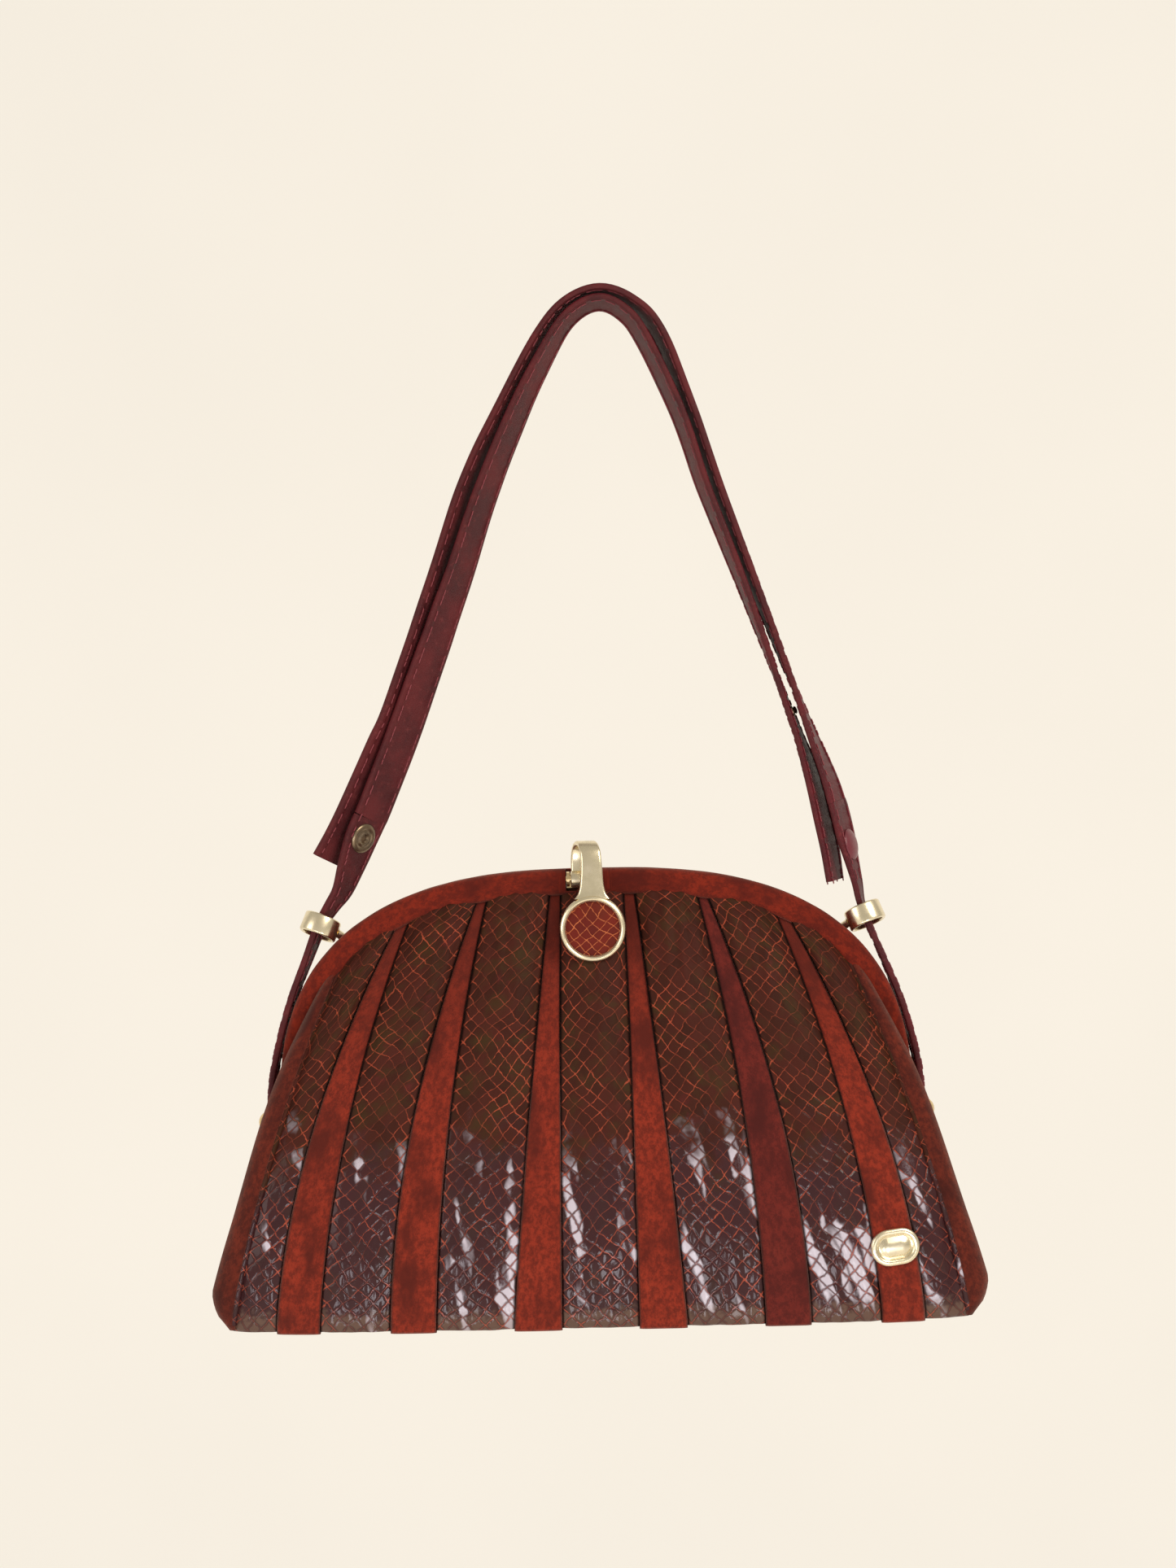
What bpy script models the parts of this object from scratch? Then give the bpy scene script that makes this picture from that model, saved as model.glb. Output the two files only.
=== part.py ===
"""Arched metal-frame handbag with a double strap, hanging by its strap.

World frame: the origin is where the bag hangs, on the underside of the inner strap at the top of
its loop. +X is to the right of someone facing the bag, -Y is towards them, and +Z is up.

Every size and outline below is in millimetres in the bag's own frame, whose origin is the centre
of the underside of the base. Each rigid body has an empty on its joint's axis, and the body's
pieces are parented to it.
"""
import math

import bmesh
import bpy
from mathutils import Matrix, Vector

MM = 0.001
GAP = 0.3

# Frame: two arched halves hinged at their feet
HINGE_Z = 80.0
ARCH_HALF_WIDTH = 127.5
ARCH_RISE = 100.0
ARCH_POWER = 2.7
BAND_WIDTH = 10.4
BAND_DEPTH = 7.6
BAND_CENTRE_Y = 4.5
BAND_CORNER = 2.0
COVER_WALL = 1.2
COVER_FOOT_Z = 90.0
ARCH_STEPS = 27
CORE_WIDTH = 6.2
CORE_THICKNESS = 1.6
CORE_CENTRE_Y = 3.6
CORE_FOOT_Z = 85.2

# Hinge stack on the axis x, y = 0, z = HINGE_Z: distances are from the bag's centre plane
EAR_RADIUS = 5.0
EAR_THICKNESS = 1.8
EAR_TOP_Z = 89.4
EAR_ROOT_HALF = 1.0
BACK_EAR_X = 125.3
FRONT_EAR_X = 127.4
BRIDGE_INNER_X = 124.4
BRIDGE_FOOT_Z = 86.2
PIN_RADIUS = 1.6
PIN_HOLE_RADIUS = 1.9
RIVET_INNER_X = 122.8
RIVET_OUTER_X = 124.1
RIVET_RADIUS = 3.2
DOME_BASE_X = 132.5
DOME_TOP_X = 136.5
DOME_RADIUS = 4.2

# Body walls
BASE_CORNER_Z = 16.0
HALF_WIDTH = 152.4
HALF_WIDTH_SLOPE = 0.27
HALF_WIDTH_CURVE = 0.00109
BASE_CORNER_DRAW = 6.0
FOLD_Z = 79.0
FOLD_DEPTH = 34.6
BELLY = 4.2
BELLY_SPAN = 95.0
FRONT_LEAN = 0.307
CORNER_DROP = 9.0
CORNER_POWER = 5
WALL_FOOT_Z = 1.5
FRONT_SPLIT_LOW_Z = 106.0
FRONT_SPLIT_HIGH_Z = 108.5
UPPER_START_DEPTH = 27.0
FRAME_ENTRY_DEPTH = 5.2
UPPER_CROWN = 3.0
LEATHER = 1.0
BOARD = 1.2
BOARD_INSET = 3.4
BOARD_TRIM = 0.4
BOARD_TOP = 0.96
UPPER_BOARD_START = 0.14
PANEL_FRAME_GAP = 0.4

# Front seams, from the middle outwards: half-width at the base, at the hinge and at the frame.
# Snakeskin and suede gores alternate between them.
SEAMS = (
    (15.2, 14.3, 12.6),
    (34.2, 27.0, 16.8),
    (64.8, 58.3, 41.9),
    (82.8, 73.0, 45.5),
    (110.8, 98.5, 73.0),
    (128.0, 112.0, 78.0),
    (143.5, 115.2, 103.5),
)

# Side gussets and base
GUSSET_TOP_Z = 77.5
GUSSET_THICKNESS = 1.6
GUSSET_TUCK = 11.0
BASE_THICKNESS = 1.2
BASE_BOARD_FOOT_Z = 1.6
BASE_BOARD_THICKNESS = 2.0
BASE_BOARD_INSET = 6.5

# Clasp: a lifting arm on a knuckle set into the front of the frame
CLASP_PIN_Y = -9.3
CLASP_PIN_Z = 176.0
CLASP_ROOT_X = -4.2
KNUCKLE_RADIUS = 3.5
KNUCKLE_LENGTH = 8.4
LUG_RADIUS = 3.0
LUG_THICKNESS = 1.2
LUG_OFFSET = 5.3
CLASP_PIN_RADIUS = 1.1
CLASP_HOLE_RADIUS = 1.4
CLASP_PIN_LENGTH = 12.4
BRACKET_FRONT_Y = -5.5
BRACKET_BACK_Y = -4.7
BRACKET_FOOT_Z = 171.6
NOTCH_FOOT_Z = 171.2
NOTCH_BACK_Y = -2.3
NOTCH_HALF_LENGTH = 6.2
ARM_THICKNESS = 2.0
DISC_Z = 156.5
DISC_Y = -21.0
DISC_RADIUS = 13.0
DISC_DEPTH = 3.0
INLAY_RADIUS = 10.8
INLAY_RECESS_RADIUS = 11.1
INLAY_RECESS_DEPTH = 1.8
# Middle line of the arm from the knuckle over the top to the disc: x, y, z and width
ARM_LINE = (
    (-4.2, -9.3, 177.0, 8.2),
    (-4.2, -9.1, 181.0, 8.2),
    (-4.1, -9.3, 185.0, 8.2),
    (-3.6, -10.7, 188.5, 8.2),
    (-2.6, -13.6, 190.3, 8.2),
    (-1.4, -17.0, 189.8, 8.2),
    (-0.5, -19.6, 187.3, 8.3),
    (-0.1, -20.7, 183.3, 8.5),
    (0.0, -21.0, 178.0, 9.2),
    (0.0, -21.0, 172.0, 10.2),
    (0.0, -21.0, 166.5, 11.0),
)

# Straps
STRAP_Y = 2.0
STRAP_THICKNESS = 2.6
STRAP_WIDTH = 18.0
NECK_WIDTH = 9.0
SWING_Z = 172.0
SIDE_STRAP_WIDTH = 15.0
SIDE_STRAP_NECK = 9.2
STRAP_STEP = 9.0
ROUND_END_ANGLES = (25, 50, 70, 82)
# Middle line of the inner strap, left ring to right tail: x, z, twist in degrees and width.
# A positive twist turns the strap's front edge outwards.
INNER_LINE = (
    (-101.1, 172.0, 35, NECK_WIDTH),
    (-97.9, 181.5, 37, 12.5),
    (-92.9, 194.2, 40, STRAP_WIDTH),
    (-86.9, 206.9, 42, STRAP_WIDTH),
    (-74.0, 238.6, 42, STRAP_WIDTH),
    (-62.1, 270.3, 38, STRAP_WIDTH),
    (-50.4, 302.1, 32, STRAP_WIDTH),
    (-39.2, 333.9, 27, STRAP_WIDTH),
    (-25.8, 365.6, 22, STRAP_WIDTH),
    (-11.5, 393.0, 15, STRAP_WIDTH),
    (-2.5, 404.5, 11, STRAP_WIDTH),
    (7.7, 409.0, 9, STRAP_WIDTH),
    (17.0, 405.0, 10, STRAP_WIDTH),
    (25.0, 394.5, 12, STRAP_WIDTH),
    (38.7, 364.1, 12, STRAP_WIDTH),
    (49.2, 331.9, 10, STRAP_WIDTH),
    (61.2, 299.6, 7, STRAP_WIDTH),
    (72.7, 267.3, 0, STRAP_WIDTH),
    (81.7, 241.5, -8, STRAP_WIDTH),
    (84.8, 232.6, -11, STRAP_WIDTH),
)
INNER_TAIL_LINE = (
    (85.4, 231.0, -11, STRAP_WIDTH),
    (90.1, 215.7, -20, STRAP_WIDTH),
    (96.0, 189.9, -24, STRAP_WIDTH),
    (98.6, 173.0, -22, STRAP_WIDTH),
)
OUTER_LINE = (
    (-77.3, 243.6, 42, STRAP_WIDTH),
    (-67.2, 271.8, 38, STRAP_WIDTH),
    (-56.6, 303.5, 32, STRAP_WIDTH),
    (-45.9, 335.5, 27, STRAP_WIDTH),
    (-30.6, 367.6, 22, STRAP_WIDTH),
    (-15.4, 395.9, 15, STRAP_WIDTH),
    (-4.8, 408.3, 11, STRAP_WIDTH),
    (8.2, 413.1, 9, STRAP_WIDTH),
    (21.0, 408.4, 10, STRAP_WIDTH),
    (31.4, 396.3, 12, STRAP_WIDTH),
    (43.8, 364.0, 12, STRAP_WIDTH),
    (54.4, 331.7, 10, STRAP_WIDTH),
    (65.9, 299.5, 7, STRAP_WIDTH),
    (77.8, 267.2, 0, STRAP_WIDTH),
    (87.3, 241.3, -8, STRAP_WIDTH),
    (96.8, 215.5, -20, STRAP_WIDTH),
    (100.6, 202.6, -24, STRAP_WIDTH),
    (103.6, 189.8, -25, 16.5),
    (105.6, 180.5, -23, 12.0),
    (107.4, 172.0, -20, NECK_WIDTH),
)
OUTER_TAIL_LINE = (
    (-106.6, 185.0, 40, STRAP_WIDTH),
    (-100.2, 196.0, 41, STRAP_WIDTH),
    (-92.2, 212.0, 42, STRAP_WIDTH),
    (-83.2, 231.0, 42, STRAP_WIDTH),
    (-77.9, 242.0, 42, STRAP_WIDTH),
)
# Side straps from the hinge studs up through the rings: distance from the centre plane, y, z
# and width
SIDE_LINE = (
    (130.9, 0.0, 80.0, SIDE_STRAP_WIDTH),
    (130.6, 0.5, 95.0, SIDE_STRAP_WIDTH),
    (127.6, 1.3, 111.0, SIDE_STRAP_WIDTH),
    (122.6, 2.0, 128.0, 14.0),
    (116.3, 2.0, 144.0, 11.5),
    (110.3, 2.0, 158.5, SIDE_STRAP_NECK),
    (107.0, 2.0, 166.0, SIDE_STRAP_NECK),
)
RING_X = 110.3
RING_Z = 158.5
RING_WIDTH_X = 15.0
RING_WIDTH_Y = 17.0
RING_CORNER = 5.0
RING_WALL = 1.6
RING_LENGTH = 8.0
RING_TILT = 22.0
RING_PITCH = 12.0
POST_RADIUS = 1.8
POST_CLEARANCE = 1.0

# Snap fasteners
SNAP_RADIUS = 6.2
SNAP_HOLE_RADIUS = 2.0
SNAP_HEIGHT = 1.2
CAP_HEIGHT = 2.0
STUD_RADIUS = 2.2
STUD_HEIGHT = 1.7
LEFT_SNAP_Z = 193.6
RIGHT_SNAP_Z = 186.5
SPARE_STUD_Z = 240.5

# Oval ornament on the last suede gore
EMBLEM_X = 116.0
EMBLEM_Z = 30.0
EMBLEM_LENGTH = 19.5
EMBLEM_HEIGHT = 14.5
EMBLEM_THICKNESS = 1.6
EMBLEM_ROLL = 7.0
EMBLEM_YAW = 6.5

HANG_POINT = Vector((7.7, STRAP_Y, 409.0 - STRAP_THICKNESS / 2))
CLASP_PIN = Vector((CLASP_ROOT_X, CLASP_PIN_Y, CLASP_PIN_Z))
# Body: parent body and a point on its joint's axis
BODIES = {
    "strap": (None, HANG_POINT),
    "bag": ("strap", Vector((0, STRAP_Y, SWING_Z))),
    "front_frame": ("bag", Vector((0, 0, HINGE_Z))),
    "clasp": ("front_frame", CLASP_PIN),
    "inner_tail": ("strap", Vector((85.1, STRAP_Y, 231.8))),
    "outer_tail": ("strap", Vector((-77.6, STRAP_Y, 242.8))),
}


# ---------------------------------------------------------------- scene and materials

def clear_scene():
    for obj in list(bpy.data.objects):
        bpy.data.objects.remove(obj, do_unlink=True)


def make_collection(name):
    collection = bpy.data.collections.new(name)
    bpy.context.scene.collection.children.link(collection)
    return collection


def make_material(name, colour, roughness, metallic=0.0):
    material = bpy.data.materials.new(name)
    material.use_nodes = True
    shader = material.node_tree.nodes["Principled BSDF"]
    shader.inputs["Base Color"].default_value = (*colour, 1.0)
    shader.inputs["Roughness"].default_value = roughness
    shader.inputs["Metallic"].default_value = metallic
    return material


def make_body_empties():
    empties = {}
    for name, (parent, point) in BODIES.items():
        empty = bpy.data.objects.new(f"{name}_joint", None)
        empty.empty_display_size = 10 * MM
        PARTS.objects.link(empty)
        origin = HANG_POINT if parent is None else BODIES[parent][1]
        empty.location = (point - origin) * MM
        empty.parent = empties.get(parent)
        empties[name] = empty
    return empties


clear_scene()
PARTS = make_collection("frame_handbag")
TOOLS = make_collection("frame_handbag_cutters")
EMPTIES = make_body_empties()
SUEDE = make_material("suede", (0.32, 0.05, 0.03), 0.95)
SNAKESKIN = make_material("snakeskin", (0.09, 0.02, 0.03), 0.4)
STRAP_LEATHER = make_material("strap_leather", (0.16, 0.02, 0.03), 0.6)
FRAME_SUEDE = make_material("frame_suede", (0.14, 0.02, 0.015), 0.95)
GOLD = make_material("gold", (0.85, 0.65, 0.35), 0.25, 1.0)
STEEL = make_material("steel", (0.6, 0.6, 0.6), 0.4, 1.0)
FIBREBOARD = make_material("fibreboard", (0.4, 0.3, 0.2), 0.9)
SNAP_BRASS = make_material("snap_brass", (0.35, 0.28, 0.18), 0.4, 1.0)
SNAP_CAP = make_material("snap_cap", (0.18, 0.03, 0.04), 0.5)


# ---------------------------------------------------------------- modelling helpers

def add_object(name, mesh, body, material):
    """Link a mesh that is in metres in the bag's frame, as a piece of a rigid body."""
    mesh.materials.clear()
    mesh.materials.append(material)
    mesh.shade_smooth()
    mesh.set_sharp_from_angle(angle=math.radians(35))
    obj = bpy.data.objects.new(name, mesh)
    PARTS.objects.link(obj)
    obj.parent = EMPTIES[body]
    obj.location = -BODIES[body][1] * MM
    return obj


def add_bmesh(name, bm, body, material):
    """Turn a bmesh in millimetres into a piece of a rigid body."""
    bm.transform(Matrix.Scale(MM, 4))
    mesh = bpy.data.meshes.new(name)
    bm.to_mesh(mesh)
    bm.free()
    return add_object(name, mesh, body, material)


def boolean(target, operation, name, bm, body):
    """Cut or join a closed bmesh in millimetres, kept as a hidden tool object."""
    tool = add_bmesh(name, bm, body, STEEL)
    PARTS.objects.unlink(tool)
    TOOLS.objects.link(tool)
    tool.hide_render = True
    tool.display_type = "WIRE"
    modifier = target.modifiers.new(name, "BOOLEAN")
    modifier.operation = operation
    modifier.object = tool


def skin(rows, closed=False):
    """Surface through rows of points: an open sheet, or a capped tube of closed rings."""
    bm = bmesh.new()
    grid = [[bm.verts.new(point) for point in row] for row in rows]
    count = len(grid[0])
    for low, high in zip(grid, grid[1:]):
        for i in range(count if closed else count - 1):
            j = (i + 1) % count
            bm.faces.new((low[i], low[j], high[j], high[i]))
    if closed:
        bm.faces.new(reversed(grid[0]))
        bm.faces.new(grid[-1])
        bmesh.ops.recalc_face_normals(bm, faces=bm.faces)
    return bm


def sheet(name, rows, thickness, body, material):
    """Leather or board: the outer surface through the rows, thickened inwards."""
    obj = add_bmesh(name, skin(rows), body, material)
    solidify = obj.modifiers.new("Thickness", "SOLIDIFY")
    solidify.thickness = thickness * MM
    solidify.offset = -1
    solidify.use_even_offset = True
    return obj


def curve_bmesh(curve, matrix):
    """Evaluate a curve, weld its caps and return it as a bmesh."""
    guide = bpy.data.objects.new("guide", curve)
    TOOLS.objects.link(guide)
    bpy.context.view_layer.update()
    mesh = bpy.data.meshes.new_from_object(guide.evaluated_get(bpy.context.evaluated_depsgraph_get()))
    bm = bmesh.new()
    bm.from_mesh(mesh)
    bmesh.ops.remove_doubles(bm, verts=bm.verts, dist=0.001)
    bmesh.ops.recalc_face_normals(bm, faces=bm.faces)
    bm.transform(matrix)
    bpy.data.objects.remove(guide)
    bpy.data.meshes.remove(mesh)
    return bm


def flat_curve(outlines, cyclic=True):
    curve = bpy.data.curves.new("outline", "CURVE")
    curve.dimensions = "2D"
    for outline in outlines:
        spline = curve.splines.new("POLY")
        spline.points.add(len(outline) - 1)
        spline.use_cyclic_u = cyclic
        for point, (x, y) in zip(spline.points, outline):
            point.co = (x, y, 0, 1)
    return curve


def plate(outlines, thickness, matrix):
    """Flat plate about its local XY plane; an outline inside another is a hole."""
    curve = flat_curve(outlines)
    curve.fill_mode = "BOTH"
    curve.extrude = thickness / 2
    return curve_bmesh(curve, matrix)


def circle(radius, count=20, centre=(0, 0)):
    turns = [2 * math.pi * i / count for i in range(count)]
    return [(centre[0] + radius * math.cos(a), centre[1] + radius * math.sin(a)) for a in turns]


def rounded_rectangle(width, height, radius, corner_points=4):
    outline = []
    for quarter, (sx, sy) in enumerate(((1, 1), (-1, 1), (-1, -1), (1, -1))):
        for i in range(corner_points):
            angle = math.radians(90 * (quarter + i / (corner_points - 1)))
            outline.append((sx * (width / 2 - radius) + radius * math.cos(angle),
                            sy * (height / 2 - radius) + radius * math.sin(angle)))
    return outline


def box(low, high):
    bm = bmesh.new()
    bmesh.ops.create_cube(bm, size=1.0)
    low, high = Vector(low), Vector(high)
    bm.transform(Matrix.Translation((low + high) / 2) @ Matrix.Diagonal((*(high - low), 1)))
    return bm


def cylinder(radius, length, matrix, segments=20):
    bm = bmesh.new()
    bmesh.ops.create_cone(bm, cap_ends=True, segments=segments, radius1=radius, radius2=radius,
                          depth=length, matrix=matrix)
    return bm


def turned(name, profile, place, body, material, steps=16):
    """Turned piece: (radius, height) from the top down its outer side, about local Z."""
    bm = bmesh.new()
    verts = [bm.verts.new((radius, 0, height)) for radius, height in profile]
    for first, second in zip(verts, verts[1:]):
        bm.edges.new((first, second))
    obj = add_bmesh(name, bm, body, material)
    obj.matrix_basis = Matrix.Translation(obj.location) @ scaled_place(place)
    screw = obj.modifiers.new("Turn", "SCREW")
    screw.axis = "Z"
    screw.steps = steps
    screw.render_steps = steps
    screw.use_merge_vertices = True
    screw.merge_threshold = 0.00001
    screw.use_smooth_shade = True
    return obj


def scaled_place(place):
    """A placement whose offset is in millimetres, as a matrix in metres."""
    matrix = place.copy()
    matrix.translation = place.translation * MM
    return matrix


def facing(point, normal):
    """Placement at a point with local Z along a direction."""
    rotation = Vector(normal).to_track_quat("Z", "Y").to_matrix().to_4x4()
    return Matrix.Translation(point) @ rotation


def smooth_line(points, step):
    """Catmull-Rom curve through tuples whose first coordinates are a position."""
    result = []
    for i in range(len(points) - 1):
        before = points[max(i - 1, 0)]
        start, end = points[i], points[i + 1]
        after = points[min(i + 2, len(points) - 1)]
        pieces = max(1, round(math.dist(start[:2], end[:2]) / step))
        for k in range(pieces):
            t = k / pieces
            weights = (-t + 2 * t ** 2 - t ** 3, 2 - 5 * t ** 2 + 3 * t ** 3,
                       t + 4 * t ** 2 - 3 * t ** 3, -t ** 2 + t ** 3)
            knots = zip(before, start, end, after)
            result.append(tuple(sum(w * v for w, v in zip(weights, knot)) / 2 for knot in knots))
    result.append(tuple(points[-1]))
    return result


def ribbon(stations, thickness):
    """Flat strip through stations of centre, width direction, normal and width."""
    rings = []
    for centre, across, normal, width in stations:
        half, rise = across * (width / 2), normal * (thickness / 2)
        rings.append((centre - half - rise, centre + half - rise,
                      centre + half + rise, centre - half + rise))
    return skin(rings, closed=True)


# ---------------------------------------------------------------- shape of the frame and walls

def arch_height(x, inset):
    """Height of the arch outline, set in from the frame's outer edge, above a given x."""
    half, rise = ARCH_HALF_WIDTH - inset, ARCH_RISE - inset
    return HINGE_Z + rise * max(0.0, 1 - (abs(x) / half) ** ARCH_POWER) ** (1 / ARCH_POWER)


def arch_line(inset, foot_z):
    """Points (x, z) of the arch outline from the left foot over the top to the right foot."""
    half, rise = ARCH_HALF_WIDTH - inset, ARCH_RISE - inset
    start = math.asin(((foot_z - HINGE_Z) / rise) ** (ARCH_POWER / 2))
    line = []
    for i in range(ARCH_STEPS):
        angle = math.pi - start - (math.pi - 2 * start) * i / (ARCH_STEPS - 1)
        x = half * abs(math.cos(angle)) ** (2 / ARCH_POWER)
        z = HINGE_Z + rise * math.sin(angle) ** (2 / ARCH_POWER)
        line.append((math.copysign(x, math.cos(angle)), z))
    return line


def half_width(z):
    """Half the width of the body at a height."""
    if z < BASE_CORNER_Z:
        return HALF_WIDTH - BASE_CORNER_DRAW * ((BASE_CORNER_Z - z) / BASE_CORNER_Z) ** 2
    rise = z - BASE_CORNER_Z
    return HALF_WIDTH - HALF_WIDTH_SLOPE * rise - HALF_WIDTH_CURVE * rise ** 2


def lower_depth(z):
    """Distance of the front and back walls from the centre plane, up to the front's split."""
    if z < FOLD_Z:
        return FOLD_DEPTH + BELLY * math.sin(math.pi * (FOLD_Z - z) / BELLY_SPAN)
    return FOLD_DEPTH - FRONT_LEAN * (z - FOLD_Z)


def upper_depth(start_depth, rise):
    """The same from a start depth up into the frame; rise runs from 0 to 1."""
    return start_depth + (FRAME_ENTRY_DEPTH - start_depth) * rise + UPPER_CROWN * math.sin(math.pi * rise)


def corner_drop(x, z):
    """How far the wall falls back towards its side edge."""
    return CORNER_DROP * (abs(x) / half_width(z)) ** CORNER_POWER


def seam_top_z(seam):
    return arch_height(seam[2], BAND_WIDTH + PANEL_FRAME_GAP)


def seam_x(seam, z):
    """Half-width of a seam at a height: a parabola through its three stated widths."""
    base, hinge, top = seam
    heights = (0.0, HINGE_Z, seam_top_z(seam))
    total = 0.0
    for i, width in enumerate((base, hinge, top)):
        weight = 1.0
        for j in range(3):
            if j != i:
                weight *= (z - heights[j]) / (heights[i] - heights[j])
        total += width * weight
    return total


def signed_seams():
    """The fourteen seams from left to right, each with its side."""
    return [(-1, seam) for seam in reversed(SEAMS)] + [(1, seam) for seam in SEAMS]


def fractions(count, low=0.0, high=1.0):
    return [low + (high - low) * i / (count - 1) for i in range(count)]


def lower_rows(left, right, places, heights, inset=0.0, gap=0.0):
    """Rows of a wall between two signed seams from the base up, at places from 0 to 1 across."""
    rows = []
    for z in heights:
        first = left[0] * seam_x(left[1], z) + gap
        width = right[0] * seam_x(right[1], z) - gap - first
        xs = [first + width * place for place in places]
        rows.append([Vector((x, corner_drop(x, z) + inset - lower_depth(z), z)) for x in xs])
    return rows


def upper_rows(left, right, places, rises, start, inset=0.0, gap=0.0):
    """Rows of a wall between two signed seams, from a start height and depth to the frame's edge."""
    start_z, start_depth = start
    rows = []
    for rise in rises:
        row = []
        for place in places:
            ends = []
            for side, seam in (left, right):
                z = start_z + rise * (seam_top_z(seam) - start_z)
                ends.append((side * seam_x(seam, z), z, side * seam[2], seam_top_z(seam)))
            x, z, top_x, chord = [a + (b - a) * place for a, b in zip(*ends)]
            x += gap * (1 - 2 * place)
            z += rise * (arch_height(top_x, BAND_WIDTH + PANEL_FRAME_GAP) - chord)
            drop = corner_drop(x, z) * (1 - rise)
            row.append(Vector((x, drop + inset - upper_depth(start_depth, rise), z)))
        rows.append(row)
    return rows


def across_all(make_rows, *details, trim=0.0, inset=0.0):
    """Rows through every seam from side to side, less a share of the two outermost gores."""
    seams = signed_seams()
    last = len(seams) - 2
    strips = []
    for index, (left, right) in enumerate(zip(seams, seams[1:])):
        count = 3 if index in (0, last) else 2
        places = fractions(count, trim if index == 0 else 0.0, 1 - trim if index == last else 1.0)
        if index != last:
            places.pop()
        strips.append(make_rows(left, right, places, *details, inset=inset))
    return [sum(parts, []) for parts in zip(*strips)]


def mirrored_to_back(rows):
    return [[Vector((-p.x, -p.y, p.z)) for p in row] for row in rows]


# ---------------------------------------------------------------- frame and hinge

def make_frame_half(name, side, body):
    """One arched half: a flat steel core with hinge ears, inside a suede-covered tube."""
    upright = Matrix.Rotation(math.radians(90), 4, "X")
    placed = Matrix.Translation((0, side * CORE_CENTRE_Y, 0)) @ upright
    middle = BAND_WIDTH / 2
    outer = arch_line(middle - CORE_WIDTH / 2, CORE_FOOT_Z)
    inner = arch_line(middle + CORE_WIDTH / 2, CORE_FOOT_Z)
    core = add_bmesh(f"{name}_core", plate([outer + inner[::-1]], CORE_THICKNESS, placed), body, STEEL)
    ear_x = FRONT_EAR_X if side < 0 else BACK_EAR_X
    boolean(core, "UNION", f"{name}_ears", make_ears(side, ear_x), body)
    if side < 0:
        boolean(core, "UNION", f"{name}_bridges", make_bridges(side), body)

    path = flat_curve([arch_line(middle, COVER_FOOT_Z)], cyclic=False)
    section = bpy.data.objects.new("section", flat_curve([rounded_rectangle(BAND_WIDTH, BAND_DEPTH,
                                                                             BAND_CORNER, 2)]))
    TOOLS.objects.link(section)
    path.bevel_mode = "OBJECT"
    path.bevel_object = section
    placed = Matrix.Translation((0, side * BAND_CENTRE_Y, 0)) @ upright
    bm = curve_bmesh(path, placed)
    bpy.data.objects.remove(section)
    cover = add_bmesh(f"{name}_cover", bm, body, FRAME_SUEDE)
    solidify = cover.modifiers.new("Thickness", "SOLIDIFY")
    solidify.thickness = COVER_WALL * MM
    solidify.offset = -1
    solidify.use_even_offset = True
    return cover


def make_ears(side, ear_x):
    """Both hinge ears of one frame half, each a drop-shaped plate square to the hinge axis."""
    root = side * CORE_CENTRE_Y
    lift = EAR_TOP_Z - HINGE_Z
    arc = [math.radians(a) for a in range(-180 if side > 0 else -200, 21 if side > 0 else 1, 20)]
    outline = [(EAR_RADIUS * math.cos(a), EAR_RADIUS * math.sin(a)) for a in arc]
    outline += [(root + EAR_ROOT_HALF, lift), (root - EAR_ROOT_HALF, lift)]
    turn = Matrix(((0, 0, 1, 0), (1, 0, 0, 0), (0, 1, 0, 0), (0, 0, 0, 1)))
    ears = bmesh.new()
    for x in (-ear_x, ear_x):
        ear = plate([outline, circle(PIN_HOLE_RADIUS)], EAR_THICKNESS,
                    Matrix.Translation((x, 0, HINGE_Z)) @ turn)
        add_to(ears, ear)
    return ears


def make_bridges(side):
    """Blocks that carry the front ears outwards past the back ones."""
    bridges = bmesh.new()
    outer_x = FRONT_EAR_X + EAR_THICKNESS / 2 - 0.1
    root = side * CORE_CENTRE_Y
    for low_x, high_x in ((-outer_x, -BRIDGE_INNER_X), (BRIDGE_INNER_X, outer_x)):
        add_to(bridges, box((low_x, root - 0.9, BRIDGE_FOOT_Z), (high_x, root + 0.9, EAR_TOP_Z - 0.2)))
    return bridges


def add_to(target, extra):
    """Add one bmesh to another as a separate piece."""
    mesh = bpy.data.meshes.new("joined")
    extra.to_mesh(mesh)
    target.from_mesh(mesh)
    extra.free()
    bpy.data.meshes.remove(mesh)


def make_hinge_pin(name, side):
    """Rivet through both ears and the strap's end, with a domed head outside."""
    dome = [(DOME_RADIUS * math.cos(a), (DOME_TOP_X - DOME_BASE_X) * math.sin(a))
            for a in [math.radians(d) for d in (90, 70, 45, 20, 0)]]
    profile = [(radius, DOME_BASE_X + rise) for radius, rise in dome]
    profile[0] = (0.0, DOME_TOP_X)
    profile += [(PIN_RADIUS, DOME_BASE_X), (PIN_RADIUS, RIVET_OUTER_X), (RIVET_RADIUS, RIVET_OUTER_X),
                (RIVET_RADIUS, RIVET_INNER_X), (0.0, RIVET_INNER_X)]
    turned(name, profile, facing((0, 0, HINGE_Z), (side, 0, 0)), "bag", GOLD)


# ---------------------------------------------------------------- body of the bag

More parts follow.
